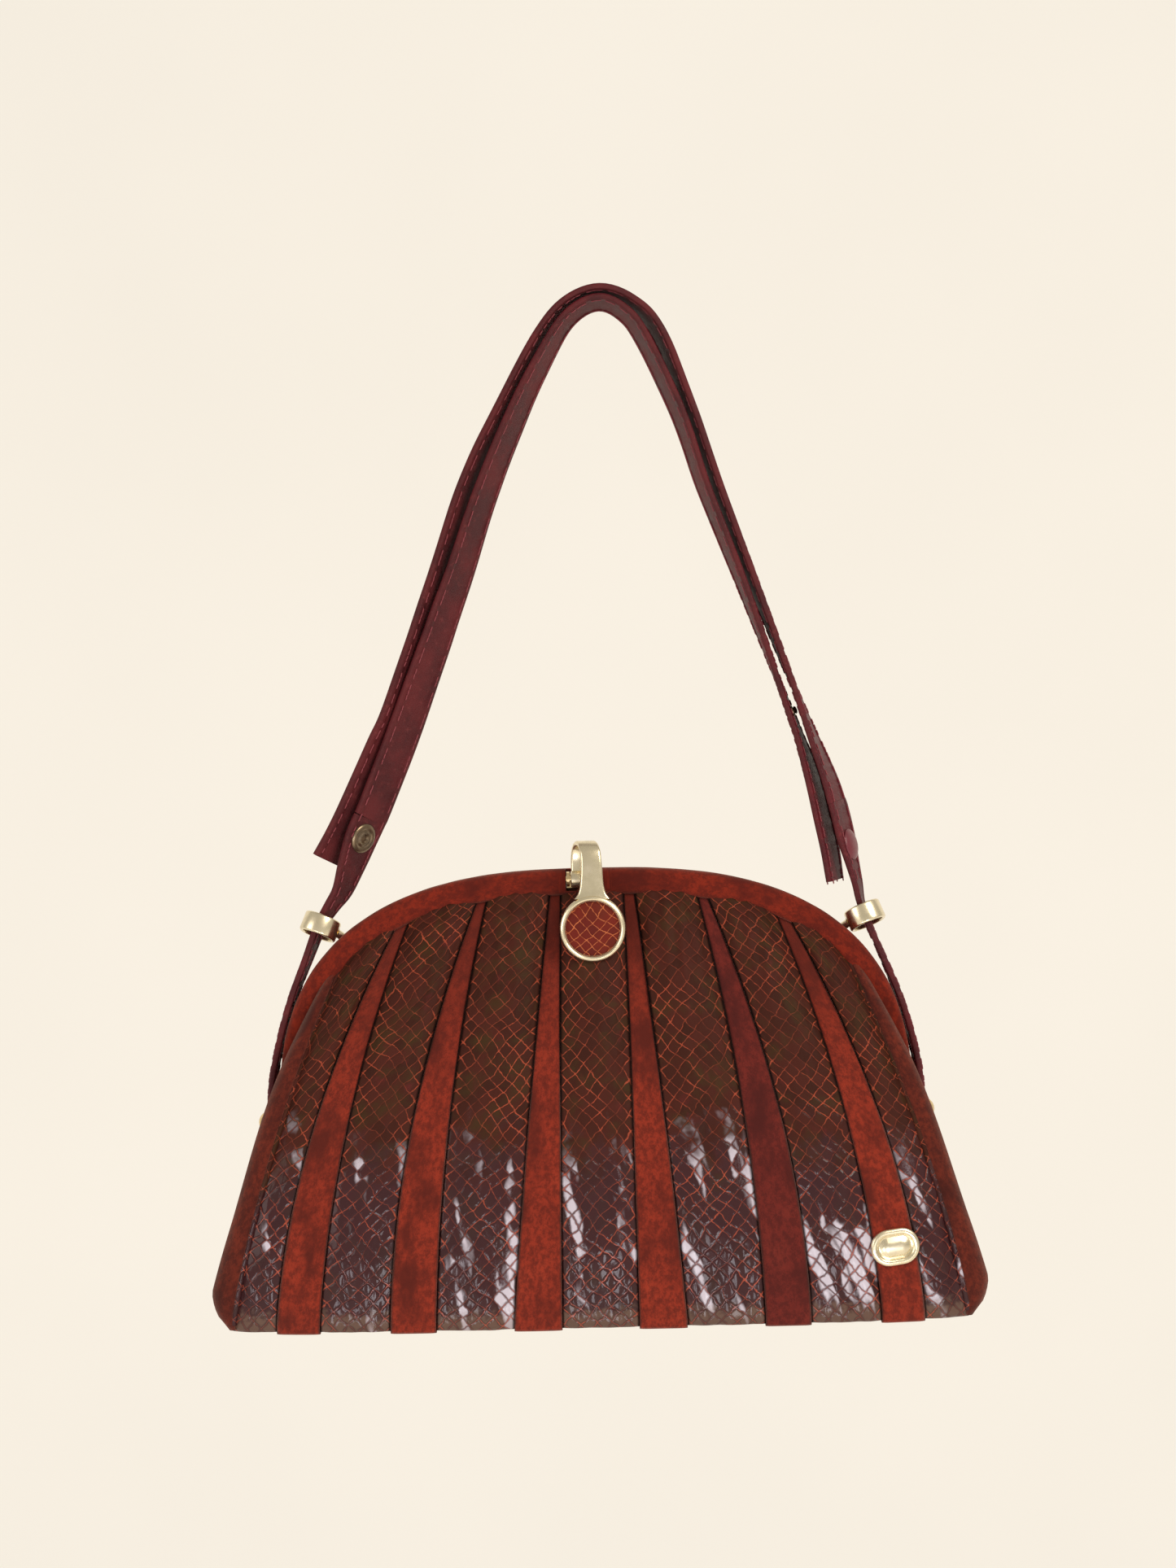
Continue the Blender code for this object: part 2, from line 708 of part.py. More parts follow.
def make_front():
    """Thirteen gores, each in a lower piece on the bag and an upper piece on the front frame."""
    seams = signed_seams()
    heights = (WALL_FOOT_Z, 12, 28, 46, 62, FOLD_Z, FRONT_SPLIT_LOW_Z)
    rises = fractions(7)
    upper_start = (FRONT_SPLIT_HIGH_Z, UPPER_START_DEPTH)
    for index, (left, right) in enumerate(zip(seams, seams[1:])):
        kind, material = (("snakeskin", SNAKESKIN), ("suede", SUEDE))[index % 2]
        label = f"{kind}_{index // 2 + 1}"
        places = fractions(4 if kind == "snakeskin" else 3)
        rows = lower_rows(left, right, places, heights, gap=GAP / 2)
        sheet(f"{label}_lower", rows, LEATHER, "bag", material)
        rows = upper_rows(left, right, places, rises, upper_start, gap=GAP / 2)
        sheet(f"{label}_upper", rows, LEATHER, "front_frame", material)

    rows = across_all(lower_rows, heights[1:], trim=BOARD_TRIM, inset=BOARD_INSET)
    sheet("front_board_lower", rows, BOARD, "bag", FIBREBOARD)
    rises = [UPPER_BOARD_START] + rises[1:-1] + [BOARD_TOP]
    rows = across_all(upper_rows, rises, upper_start, trim=BOARD_TRIM, inset=BOARD_INSET)
    sheet("front_board_upper", rows, BOARD, "front_frame", FIBREBOARD)


def make_back():
    """The back wall in one piece, on the fixed half of the frame, with its board."""
    heights = (WALL_FOOT_Z, 12, 28, 46, 62)
    rises = fractions(8)
    start = (FOLD_Z, FOLD_DEPTH)
    rows = across_all(lower_rows, heights) + across_all(upper_rows, rises, start)
    sheet("back_panel", mirrored_to_back(rows), LEATHER, "bag", SNAKESKIN)
    inner = {"trim": BOARD_TRIM, "inset": BOARD_INSET}
    rows = across_all(lower_rows, heights[1:], **inner)
    rises[-1] = BOARD_TOP
    rows += across_all(upper_rows, rises, start, **inner)
    sheet("back_board", mirrored_to_back(rows), BOARD, "bag", FIBREBOARD)


def gusset_row(z):
    """Plan of the right gusset at a height, from its front seam round to its back seam."""
    half, depth = half_width(z), lower_depth(z)
    corner_y = depth - CORNER_DROP
    tuck = GUSSET_TUCK * (z / HINGE_Z) ** 1.2 - 1
    front = []
    for x in fractions(4, seam_x(SEAMS[-1], z) + PANEL_FRAME_GAP, half):
        front.append(Vector((x, corner_drop(x, z) - depth, z)))
    side = []
    for y in fractions(9, -corner_y, corner_y)[1:-1]:
        side.append(Vector((half - tuck * (1 - (y / corner_y) ** 2), y, z)))
    return front + side + [Vector((p.x, -p.y, p.z)) for p in reversed(front)]


def make_gussets():
    heights = (WALL_FOOT_Z, 8, BASE_CORNER_Z, 36, 56, GUSSET_TOP_Z)
    right = [gusset_row(z) for z in heights]
    left = [[Vector((-p.x, -p.y, p.z)) for p in row] for row in right]
    sheet("gusset_right", right, GUSSET_THICKNESS, "bag", SUEDE)
    sheet("gusset_left", left, GUSSET_THICKNESS, "bag", SUEDE)


def base_outline(inset):
    """Plan of the base, following the foot of the walls."""
    z = WALL_FOOT_Z
    half = half_width(z) - inset
    depth = lower_depth(z) - inset
    front = [(x, -depth + CORNER_DROP * (abs(x) / half) ** CORNER_POWER)
             for x in fractions(21, -half, half)]
    return front + [(-x, -y) for x, y in front]


def make_base():
    level = Matrix.Translation((0, 0, BASE_THICKNESS / 2))
    add_bmesh("base_panel", plate([base_outline(0.8)], BASE_THICKNESS, level), "bag", SUEDE)
    level = Matrix.Translation((0, 0, BASE_BOARD_FOOT_Z + BASE_BOARD_THICKNESS / 2))
    outline = base_outline(BASE_BOARD_INSET)
    add_bmesh("base_board", plate([outline], BASE_BOARD_THICKNESS, level), "bag", FIBREBOARD)


def make_emblem():
    """Plain oval ornament on the right-hand suede gore."""
    surface_y = corner_drop(EMBLEM_X, EMBLEM_Z) - lower_depth(EMBLEM_Z)
    stand_off = GAP + EMBLEM_THICKNESS / 2
    place = (Matrix.Translation((EMBLEM_X, surface_y - stand_off, EMBLEM_Z))
             @ Matrix.Rotation(math.radians(EMBLEM_YAW), 4, "Z")
             @ Matrix.Rotation(math.radians(-EMBLEM_ROLL), 4, "Y")
             @ Matrix.Rotation(math.radians(90), 4, "X"))
    outline = rounded_rectangle(EMBLEM_LENGTH, EMBLEM_HEIGHT, EMBLEM_HEIGHT / 2, 8)
    add_bmesh("emblem", plate([outline], EMBLEM_THICKNESS, place), "bag", GOLD)


# ---------------------------------------------------------------- clasp

def make_clasp():
    sideways = Matrix.Translation(CLASP_PIN) @ Matrix.Rotation(math.radians(90), 4, "Y")
    make_clasp_base(sideways)
    length = CLASP_PIN_LENGTH
    add_bmesh("clasp_pin", cylinder(CLASP_PIN_RADIUS, length, sideways, 16), "front_frame", GOLD)

    stations = []
    line = [Vector(point[:3]) for point in ARM_LINE]
    for i, (centre, point) in enumerate(zip(line, ARM_LINE)):
        along = (line[min(i + 1, len(line) - 1)] - line[max(i - 1, 0)])
        along.x = 0
        normal = Vector((1, 0, 0)).cross(along.normalized())
        stations.append((centre, Vector((1, 0, 0)), normal, point[3]))
    arm = add_bmesh("clasp_arm", ribbon(stations, ARM_THICKNESS), "clasp", GOLD)
    boolean(arm, "UNION", "clasp_knuckle", cylinder(KNUCKLE_RADIUS, KNUCKLE_LENGTH, sideways), "clasp")
    disc = Matrix.Translation((0, DISC_Y, DISC_Z)) @ Matrix.Rotation(math.radians(90), 4, "X")
    boolean(arm, "UNION", "clasp_disc", cylinder(DISC_RADIUS, DISC_DEPTH, disc, 32), "clasp")
    recess_y = DISC_Y - DISC_DEPTH / 2
    recess = Matrix.Translation((0, recess_y, DISC_Z)) @ Matrix.Rotation(math.radians(90), 4, "X")
    cutter = cylinder(INLAY_RECESS_RADIUS, 2 * INLAY_RECESS_DEPTH, recess, 32)
    boolean(arm, "DIFFERENCE", "clasp_recess", cutter, "clasp")
    cutter = cylinder(CLASP_HOLE_RADIUS, CLASP_PIN_LENGTH, sideways, 16)
    boolean(arm, "DIFFERENCE", "clasp_bore", cutter, "clasp")

    floor_y = recess_y + INLAY_RECESS_DEPTH - GAP
    profile = [(0.0, 2.4), (5.0, 2.2), (8.5, 1.8), (INLAY_RADIUS, 1.0), (INLAY_RADIUS, 0.0), (0.0, 0.0)]
    turned("clasp_inlay", profile, facing((0, floor_y, DISC_Z), (0, -1, 0)), "clasp", SNAKESKIN, 24)


def make_clasp_base(sideways):
    """Bracket on the frame's core whose two lugs hold the clasp's pin."""
    half = LUG_OFFSET + LUG_THICKNESS / 2
    plate_low = (CLASP_ROOT_X - half, BRACKET_FRONT_Y, BRACKET_FOOT_Z)
    plate_high = (CLASP_ROOT_X + half, BRACKET_BACK_Y, CLASP_PIN_Z + LUG_RADIUS - 0.7)
    base = add_bmesh("clasp_base", box(plate_low, plate_high), "front_frame", GOLD)
    for label, offset in (("left", -LUG_OFFSET), ("right", LUG_OFFSET)):
        x = CLASP_ROOT_X + offset
        place = Matrix.Translation((offset, 0, 0)) @ sideways
        lug = cylinder(LUG_RADIUS, LUG_THICKNESS, place)
        boolean(base, "UNION", f"clasp_lug_{label}", lug, "front_frame")
        low = (x - LUG_THICKNESS / 2 + 0.01, CLASP_PIN_Y, CLASP_PIN_Z - LUG_RADIUS + 0.3)
        high = (x + LUG_THICKNESS / 2 - 0.01, BRACKET_BACK_Y - 0.1, CLASP_PIN_Z + LUG_RADIUS - 0.9)
        boolean(base, "UNION", f"clasp_web_{label}", box(low, high), "front_frame")
    cutter = cylinder(CLASP_HOLE_RADIUS, CLASP_PIN_LENGTH + 4, sideways, 16)
    boolean(base, "DIFFERENCE", "clasp_base_bore", cutter, "front_frame")


def cut_clasp_notch(cover):
    """Opening in the front cover for the knuckle, and for the arm when it is lifted."""
    low = (CLASP_ROOT_X - NOTCH_HALF_LENGTH, -20, NOTCH_FOOT_Z)
    high = (CLASP_ROOT_X + NOTCH_HALF_LENGTH, NOTCH_BACK_Y, HINGE_Z + ARCH_RISE + 10)
    boolean(cover, "DIFFERENCE", "clasp_notch", box(low, high), "front_frame")


# ---------------------------------------------------------------- straps

def strap_stations(line, start_round=0.0, end_round=0.0):
    """Stations of a handle strap from its middle line of x, z, twist and width.

    A rounded end is a half circle about the line's last point.
    """
    points = smooth_line(line, STRAP_STEP)
    stations = []
    for i, (x, z, twist, width) in enumerate(points):
        ahead, behind = points[min(i + 1, len(points) - 1)], points[max(i - 1, 0)]
        along = Vector((ahead[0] - behind[0], 0, ahead[1] - behind[1])).normalized()
        outward = Vector((-along.z, 0, along.x))
        cosine, sine = math.cos(math.radians(twist)), math.sin(math.radians(twist))
        across = Vector((0, -cosine, 0)) + outward * sine
        normal = outward * cosine + Vector((0, sine, 0))
        stations.append((Vector((x, STRAP_Y, z)), across, normal, width))
    return rounded_ends(stations, start_round, end_round)


def rounded_ends(stations, start_round, end_round):
    """Add half-circle ends, each with its radius, or none at radius 0."""
    result = list(stations)
    for radius, end, neighbour, at_start in ((start_round, stations[0], stations[1], True),
                                             (end_round, stations[-1], stations[-2], False)):
        if not radius:
            continue
        away = (end[0] - neighbour[0]).normalized()
        cap = []
        for degrees in ROUND_END_ANGLES:
            angle = math.radians(degrees)
            centre = end[0] + away * radius * math.sin(angle)
            cap.append((centre, end[1], end[2], end[3] * math.cos(angle)))
        result = cap[::-1] + result if at_start else result + cap
    return result


def nearest_station(stations, z, side):
    """The station of a strap on one side of the loop that is nearest to a height."""
    choices = [s for s in stations if s[0].x * side > 0]
    return min(choices, key=lambda s: abs(s[0].z - z))


def make_handle():
    """Inner and outer strap, each running from one ring to a free tail on the other side."""
    neck = NECK_WIDTH / 2
    inner = strap_stations(INNER_LINE, start_round=neck)
    add_bmesh("strap_inner", ribbon(inner, STRAP_THICKNESS), "strap", STRAP_LEATHER)
    inner_tail = strap_stations(INNER_TAIL_LINE)
    add_bmesh("strap_inner_tail", ribbon(inner_tail, STRAP_THICKNESS), "inner_tail", STRAP_LEATHER)
    outer = strap_stations(OUTER_LINE, end_round=neck)
    add_bmesh("strap_outer", ribbon(outer, STRAP_THICKNESS), "strap", STRAP_LEATHER)
    outer_tail = strap_stations(OUTER_TAIL_LINE)
    add_bmesh("strap_outer_tail", ribbon(outer_tail, STRAP_THICKNESS), "outer_tail", STRAP_LEATHER)

    make_snap_socket("left_snap_socket", nearest_station(inner, LEFT_SNAP_Z, -1), -1, "strap")
    make_snap_socket("right_snap_socket", nearest_station(inner_tail, RIGHT_SNAP_Z, 1), -1, "inner_tail")
    make_snap_cap("left_snap_cap", nearest_station(outer_tail, LEFT_SNAP_Z, -1), "outer_tail")
    make_snap_cap("right_snap_cap", nearest_station(outer, RIGHT_SNAP_Z, 1), "strap")
    centre, _, normal, _ = nearest_station(inner, SPARE_STUD_Z, 1)
    profile = [(0.0, STUD_HEIGHT), (1.2, STUD_HEIGHT - 0.2), (1.7, 1.0), (1.2, 0.5), (STUD_RADIUS, 0.4),
               (STUD_RADIUS, 0.0), (0.0, 0.0)]
    place = facing(centre + normal * (STRAP_THICKNESS / 2 + GAP), normal)
    turned("spare_snap_stud", profile, place, "strap", SNAP_BRASS, 16)


def make_snap_socket(name, station, face, body):
    """Ring-shaped back of a snap fastener on one face of a strap."""
    centre, _, normal, _ = station
    place = facing(centre + normal * face * (STRAP_THICKNESS / 2 + GAP), normal * face)
    profile = [(SNAP_HOLE_RADIUS, SNAP_HEIGHT * 0.7), (3.4, SNAP_HEIGHT), (4.8, SNAP_HEIGHT),
               (SNAP_RADIUS, 0.5), (SNAP_RADIUS, 0.0), (SNAP_HOLE_RADIUS, 0.0),
               (SNAP_HOLE_RADIUS, SNAP_HEIGHT * 0.7)]
    turned(name, profile, place, body, SNAP_BRASS)


def make_snap_cap(name, station, body):
    """Domed cap of a snap fastener on a strap's outer face."""
    centre, _, normal, _ = station
    place = facing(centre + normal * (STRAP_THICKNESS / 2 + GAP), normal)
    profile = [(0.0, CAP_HEIGHT), (2.5, CAP_HEIGHT - 0.2), (4.6, CAP_HEIGHT - 0.7), (SNAP_RADIUS, 0.6),
               (SNAP_RADIUS, 0.0), (0.0, 0.0)]
    turned(name, profile, place, body, SNAP_CAP)


def side_strap_stations(side):
    """Strap from the hinge stud up through the ring, ending short of the handle's neck."""
    points = smooth_line([(x, z, y, width) for x, y, z, width in SIDE_LINE], STRAP_STEP)
    stations = []
    for i, (x, z, y, width) in enumerate(points):
        ahead, behind = points[min(i + 1, len(points) - 1)], points[max(i - 1, 0)]
        along = Vector((side * (ahead[0] - behind[0]), 0, ahead[1] - behind[1])).normalized()
        outward = Vector((side * abs(along.z), 0, -side * along.x))
        stations.append((Vector((side * x, y, z)), Vector((0, -1, 0)), outward, width))
    return rounded_ends(stations, SIDE_STRAP_WIDTH / 2, 0.0)


def make_side_strap(name, side):
    strap = add_bmesh(name, ribbon(side_strap_stations(side), STRAP_THICKNESS), "bag", STRAP_LEATHER)
    place = (Matrix.Translation((side * SIDE_LINE[0][0], 0, HINGE_Z))
             @ Matrix.Rotation(math.radians(90), 4, "Y"))
    boolean(strap, "DIFFERENCE", f"{name}_hole", cylinder(PIN_HOLE_RADIUS, 10, place, 16), "bag")


def make_ring(name, side):
    """Rounded rectangular tube round the side strap, on a post from the back frame's edge."""
    place = (Matrix.Translation((side * RING_X, STRAP_Y, RING_Z))
             @ Matrix.Rotation(math.radians(-side * RING_TILT), 4, "Y")
             @ Matrix.Rotation(math.radians(-RING_PITCH), 4, "X"))
    hole = rounded_rectangle(RING_WIDTH_X - 2 * RING_WALL, RING_WIDTH_Y - 2 * RING_WALL,
                             RING_CORNER - RING_WALL)
    outline = rounded_rectangle(RING_WIDTH_X, RING_WIDTH_Y, RING_CORNER)
    ring = add_bmesh(name, plate([outline, hole], RING_LENGTH, place), "bag", GOLD)
    inner_wall = place @ Vector((-side * (RING_WIDTH_X / 2 - RING_WALL / 2), 0, 0))
    seat = frame_edge_near(inner_wall, side)
    post = seat - inner_wall
    place = facing((seat + inner_wall) / 2, post)
    boolean(ring, "UNION", f"{name}_post", cylinder(POST_RADIUS, post.length, place, 12), "bag")


def frame_edge_near(point, side):
    """Point on the back frame's outer edge nearest to a given one, just clear of it."""
    line = [(x, z) for x, z in arch_line(-POST_CLEARANCE, COVER_FOOT_Z) if x * side > 0]
    dense = smooth_line(line, 1.0)
    x, z = min(dense, key=lambda p: math.dist(p, (point.x, point.z)))
    return Vector((x, BAND_CENTRE_Y, z))


# ---------------------------------------------------------------- assembly

def main():
    front_cover = make_frame_half("front_frame", -1, "front_frame")
    cut_clasp_notch(front_cover)
    make_frame_half("back_frame", 1, "bag")
    for label, side in (("left", -1), ("right", 1)):
        make_hinge_pin(f"hinge_pin_{label}", side)
        make_side_strap(f"side_strap_{label}", side)
        make_ring(f"strap_ring_{label}", side)
    make_front()
    make_back()
    make_gussets()
    make_base()
    make_emblem()
    make_clasp()
    make_handle()


main()
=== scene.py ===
import math
import random

import bpy
from mathutils import Matrix, Vector, noise

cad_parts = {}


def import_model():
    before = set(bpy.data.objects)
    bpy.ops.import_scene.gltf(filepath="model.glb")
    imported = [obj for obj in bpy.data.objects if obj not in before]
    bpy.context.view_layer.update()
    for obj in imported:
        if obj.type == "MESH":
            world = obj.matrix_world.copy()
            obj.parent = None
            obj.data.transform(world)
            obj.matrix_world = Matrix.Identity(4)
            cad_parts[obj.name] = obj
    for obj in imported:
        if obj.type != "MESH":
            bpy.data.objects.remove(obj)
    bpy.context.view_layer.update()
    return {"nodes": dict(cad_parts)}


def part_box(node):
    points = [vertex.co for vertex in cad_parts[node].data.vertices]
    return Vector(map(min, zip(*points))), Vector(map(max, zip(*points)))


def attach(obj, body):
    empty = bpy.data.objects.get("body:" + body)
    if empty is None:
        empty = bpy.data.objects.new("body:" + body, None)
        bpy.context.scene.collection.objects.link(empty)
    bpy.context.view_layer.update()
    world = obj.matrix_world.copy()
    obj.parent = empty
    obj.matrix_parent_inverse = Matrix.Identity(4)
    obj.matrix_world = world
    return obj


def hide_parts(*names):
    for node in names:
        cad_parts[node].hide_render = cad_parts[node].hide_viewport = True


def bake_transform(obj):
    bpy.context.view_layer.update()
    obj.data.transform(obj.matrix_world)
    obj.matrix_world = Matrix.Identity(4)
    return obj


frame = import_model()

# Shapes are worked out in millimetres in the bag's own frame: the origin is the middle of the
# base's underside, +X is to the right seen from the front, -Y is the front and +Z is up.
MM = 0.001
BASE_LOW, BASE_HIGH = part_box("base_panel")
ORIGIN = Vector(((BASE_LOW.x + BASE_HIGH.x) / 2, (BASE_LOW.y + BASE_HIGH.y) / 2, BASE_LOW.z))

# Driving dimensions, the same as the CAD's
HINGE_Z = 80.0
ARCH_HALF_WIDTH = 127.5
ARCH_RISE = 100.0
ARCH_POWER = 2.7
BAND_WIDTH = 10.4
BAND_DEPTH = 7.6
BAND_CENTRE_Y = 4.5
TOP_INSET = 7.6
FOLD_Z = 79.0
FOLD_DEPTH = 34.6
FOOT_Z = 2.5
STRAP_Y = 2.0
STRAP_WIDTH = 18.0
STRAP_THICKNESS = 2.6
# Distance of each seam from the middle at the foot, at the hinge's height and at the frame
SEAMS = (
    (15.2, 14.3, 12.6),
    (34.2, 27.0, 16.8),
    (64.8, 58.3, 41.9),
    (82.8, 73.0, 45.5),
    (110.8, 98.5, 73.0),
    (128.0, 112.0, 78.0),
    (146.0, 125.5, 101.0),
)
WIDEST, WIDEST_Z = 152.4, 16.0
DEPTH_AT_FRAME = 5.2
SIDE_DROP = 9.0
FOOT_TURN_IN = ((9.0, 0.9), (4.0, 0.2), (1.6, 0.5), (0.5, 1.3))
ARCH_FOOT_Z = 88.5


def world(point):
    return ORIGIN + Vector(point) * MM


# ---------------- small mathematics

def smoothstep(low, high, value):
    t = min(1.0, max(0.0, (value - low) / (high - low)))
    return t * t * (3 - 2 * t)


def mix(a, b, t):
    return a + (b - a) * t


def fractions(count, low=0.0, high=1.0):
    return [low + (high - low) * i / (count - 1) for i in range(count)]


def catmull_rom(points, step):
    """Smooth curve through tuples; the first three values of each are a position."""
    result = []
    for i in range(len(points) - 1):
        before, start = points[max(i - 1, 0)], points[i]
        end, after = points[i + 1], points[min(i + 2, len(points) - 1)]
        pieces = max(1, round(math.dist(start[:3], end[:3]) / step))
        for k in range(pieces):
            t = k / pieces
            weights = (-t + 2 * t ** 2 - t ** 3, 2 - 5 * t ** 2 + 3 * t ** 3,
                       t + 4 * t ** 2 - 3 * t ** 3, -t ** 2 + t ** 3)
            knots = zip(before, start, end, after)
            result.append(tuple(sum(w * v for w, v in zip(weights, knot)) / 2 for knot in knots))
    result.append(tuple(points[-1]))
    return result


def facing(point, normal):
    rotation = Vector(normal).to_track_quat("Z", "Y").to_matrix().to_4x4()
    return Matrix.Translation(point) @ rotation


# ---------------- materials

class Finish:
    """A Principled material, with short ways to add the nodes that make its detail."""

    def __init__(self, name, **values):
        self.material = bpy.data.materials.new(name)
        self.material.use_nodes = True
        self.tree = self.material.node_tree
        self.shader = self.tree.nodes["Principled BSDF"]
        for key, value in values.items():
            self.shader.inputs[key.replace("_", " ")].default_value = value

    def put(self, socket, value):
        if isinstance(value, bpy.types.NodeSocket):
            self.tree.links.new(value, socket)
        else:
            socket.default_value = value

    def node(self, kind, inputs=(), **settings):
        node = self.tree.nodes.new(kind)
        for key, value in settings.items():
            setattr(node, key, value)
        for key, value in dict(inputs).items():
            self.put(node.inputs[key], value)
        return node

    def grain(self):
        """The mesh's own surface coordinates in millimetres: across, along and a piece number."""
        return self.node("ShaderNodeAttribute", attribute_name="grain").outputs["Vector"]

    def edge(self):
        """Distance from the side edges of a leather strip, in millimetres."""
        return self.node("ShaderNodeAttribute", attribute_name="edge").outputs["Fac"]

    def math(self, operation, a, b=0.0, c=0.0):
        node = self.node("ShaderNodeMath", {0: a, 1: b, 2: c}, operation=operation)
        return node.outputs[0]

    def times(self, a, b):
        return self.math("MULTIPLY", a, b)

    def vector(self, operation, a, b):
        return self.node("ShaderNodeVectorMath", {0: a, 1: b}, operation=operation).outputs[0]

    def scaled(self, vector, x, y, z=1.0):
        return self.vector("MULTIPLY", vector, (x, y, z))

    def split(self, vector):
        return self.node("ShaderNodeSeparateXYZ", {0: vector}).outputs

    def join(self, x, y, z=0.0):
        return self.node("ShaderNodeCombineXYZ", {0: x, 1: y, 2: z}).outputs[0]

    def noise(self, vector, scale, detail=3.0, roughness=0.55):
        inputs = {"Vector": vector, "Scale": scale, "Detail": detail, "Roughness": roughness}
        return self.node("ShaderNodeTexNoise", inputs).outputs["Fac"]

    def drift(self, vector, scale, detail):
        """Random shifts in three directions, about zero."""
        inputs = {"Vector": vector, "Scale": scale, "Detail": detail}
        colour = self.node("ShaderNodeTexNoise", inputs).outputs["Color"]
        return self.vector("SUBTRACT", colour, (0.5, 0.5, 0.5))

    def ramp(self, value, low, high, to_low=0.0, to_high=1.0):
        inputs = {"Value": value, "From Min": low, "From Max": high, "To Min": to_low, "To Max": to_high}
        node = self.node("ShaderNodeMapRange", inputs, interpolation_type="SMOOTHSTEP")
        return node.outputs["Result"]

    def blend(self, factor, a, b):
        node = self.node("ShaderNodeMix", data_type="RGBA")
        for index, value in ((0, factor), (6, a), (7, b)):
            self.put(node.inputs[index], value)
        return node.outputs[2]

    def bump(self, height, distance, strength=1.0, normal=None):
        inputs = {"Height": height, "Distance": distance * MM, "Strength": strength}
        if normal is not None:
            inputs["Normal"] = normal
        return self.node("ShaderNodeBump", inputs).outputs["Normal"]

    def set(self, **values):
        for key, value in values.items():
            self.put(self.shader.inputs[key.replace("_", " ")], value)
        return self.material


# Heights over which the painted reflection at the foot of the snakeskin fades out.
FOOT_REFLECTION_FADE = (12.0, 18.0)
# Near-black used as painted shade in the seam grooves beside the leather's side edges.
PAINTED_SEAM_SHADE = (0.006, 0.003, 0.003, 1)
WINE_STAIN = (0.14, 0.014, 0.018, 1)
GLAZED_TONE = (0.032, 0.008, 0.014, 1)
# Colour of the painted reflection streaks on the glossy lower snakeskin.
PAINTED_REFLECTION_TONE = (0.62, 0.56, 0.64, 1)
# Colour of the painted reflection at the foot of the snakeskin.
PAINTED_FOOT_REFLECTION = (0.20, 0.12, 0.08, 1)


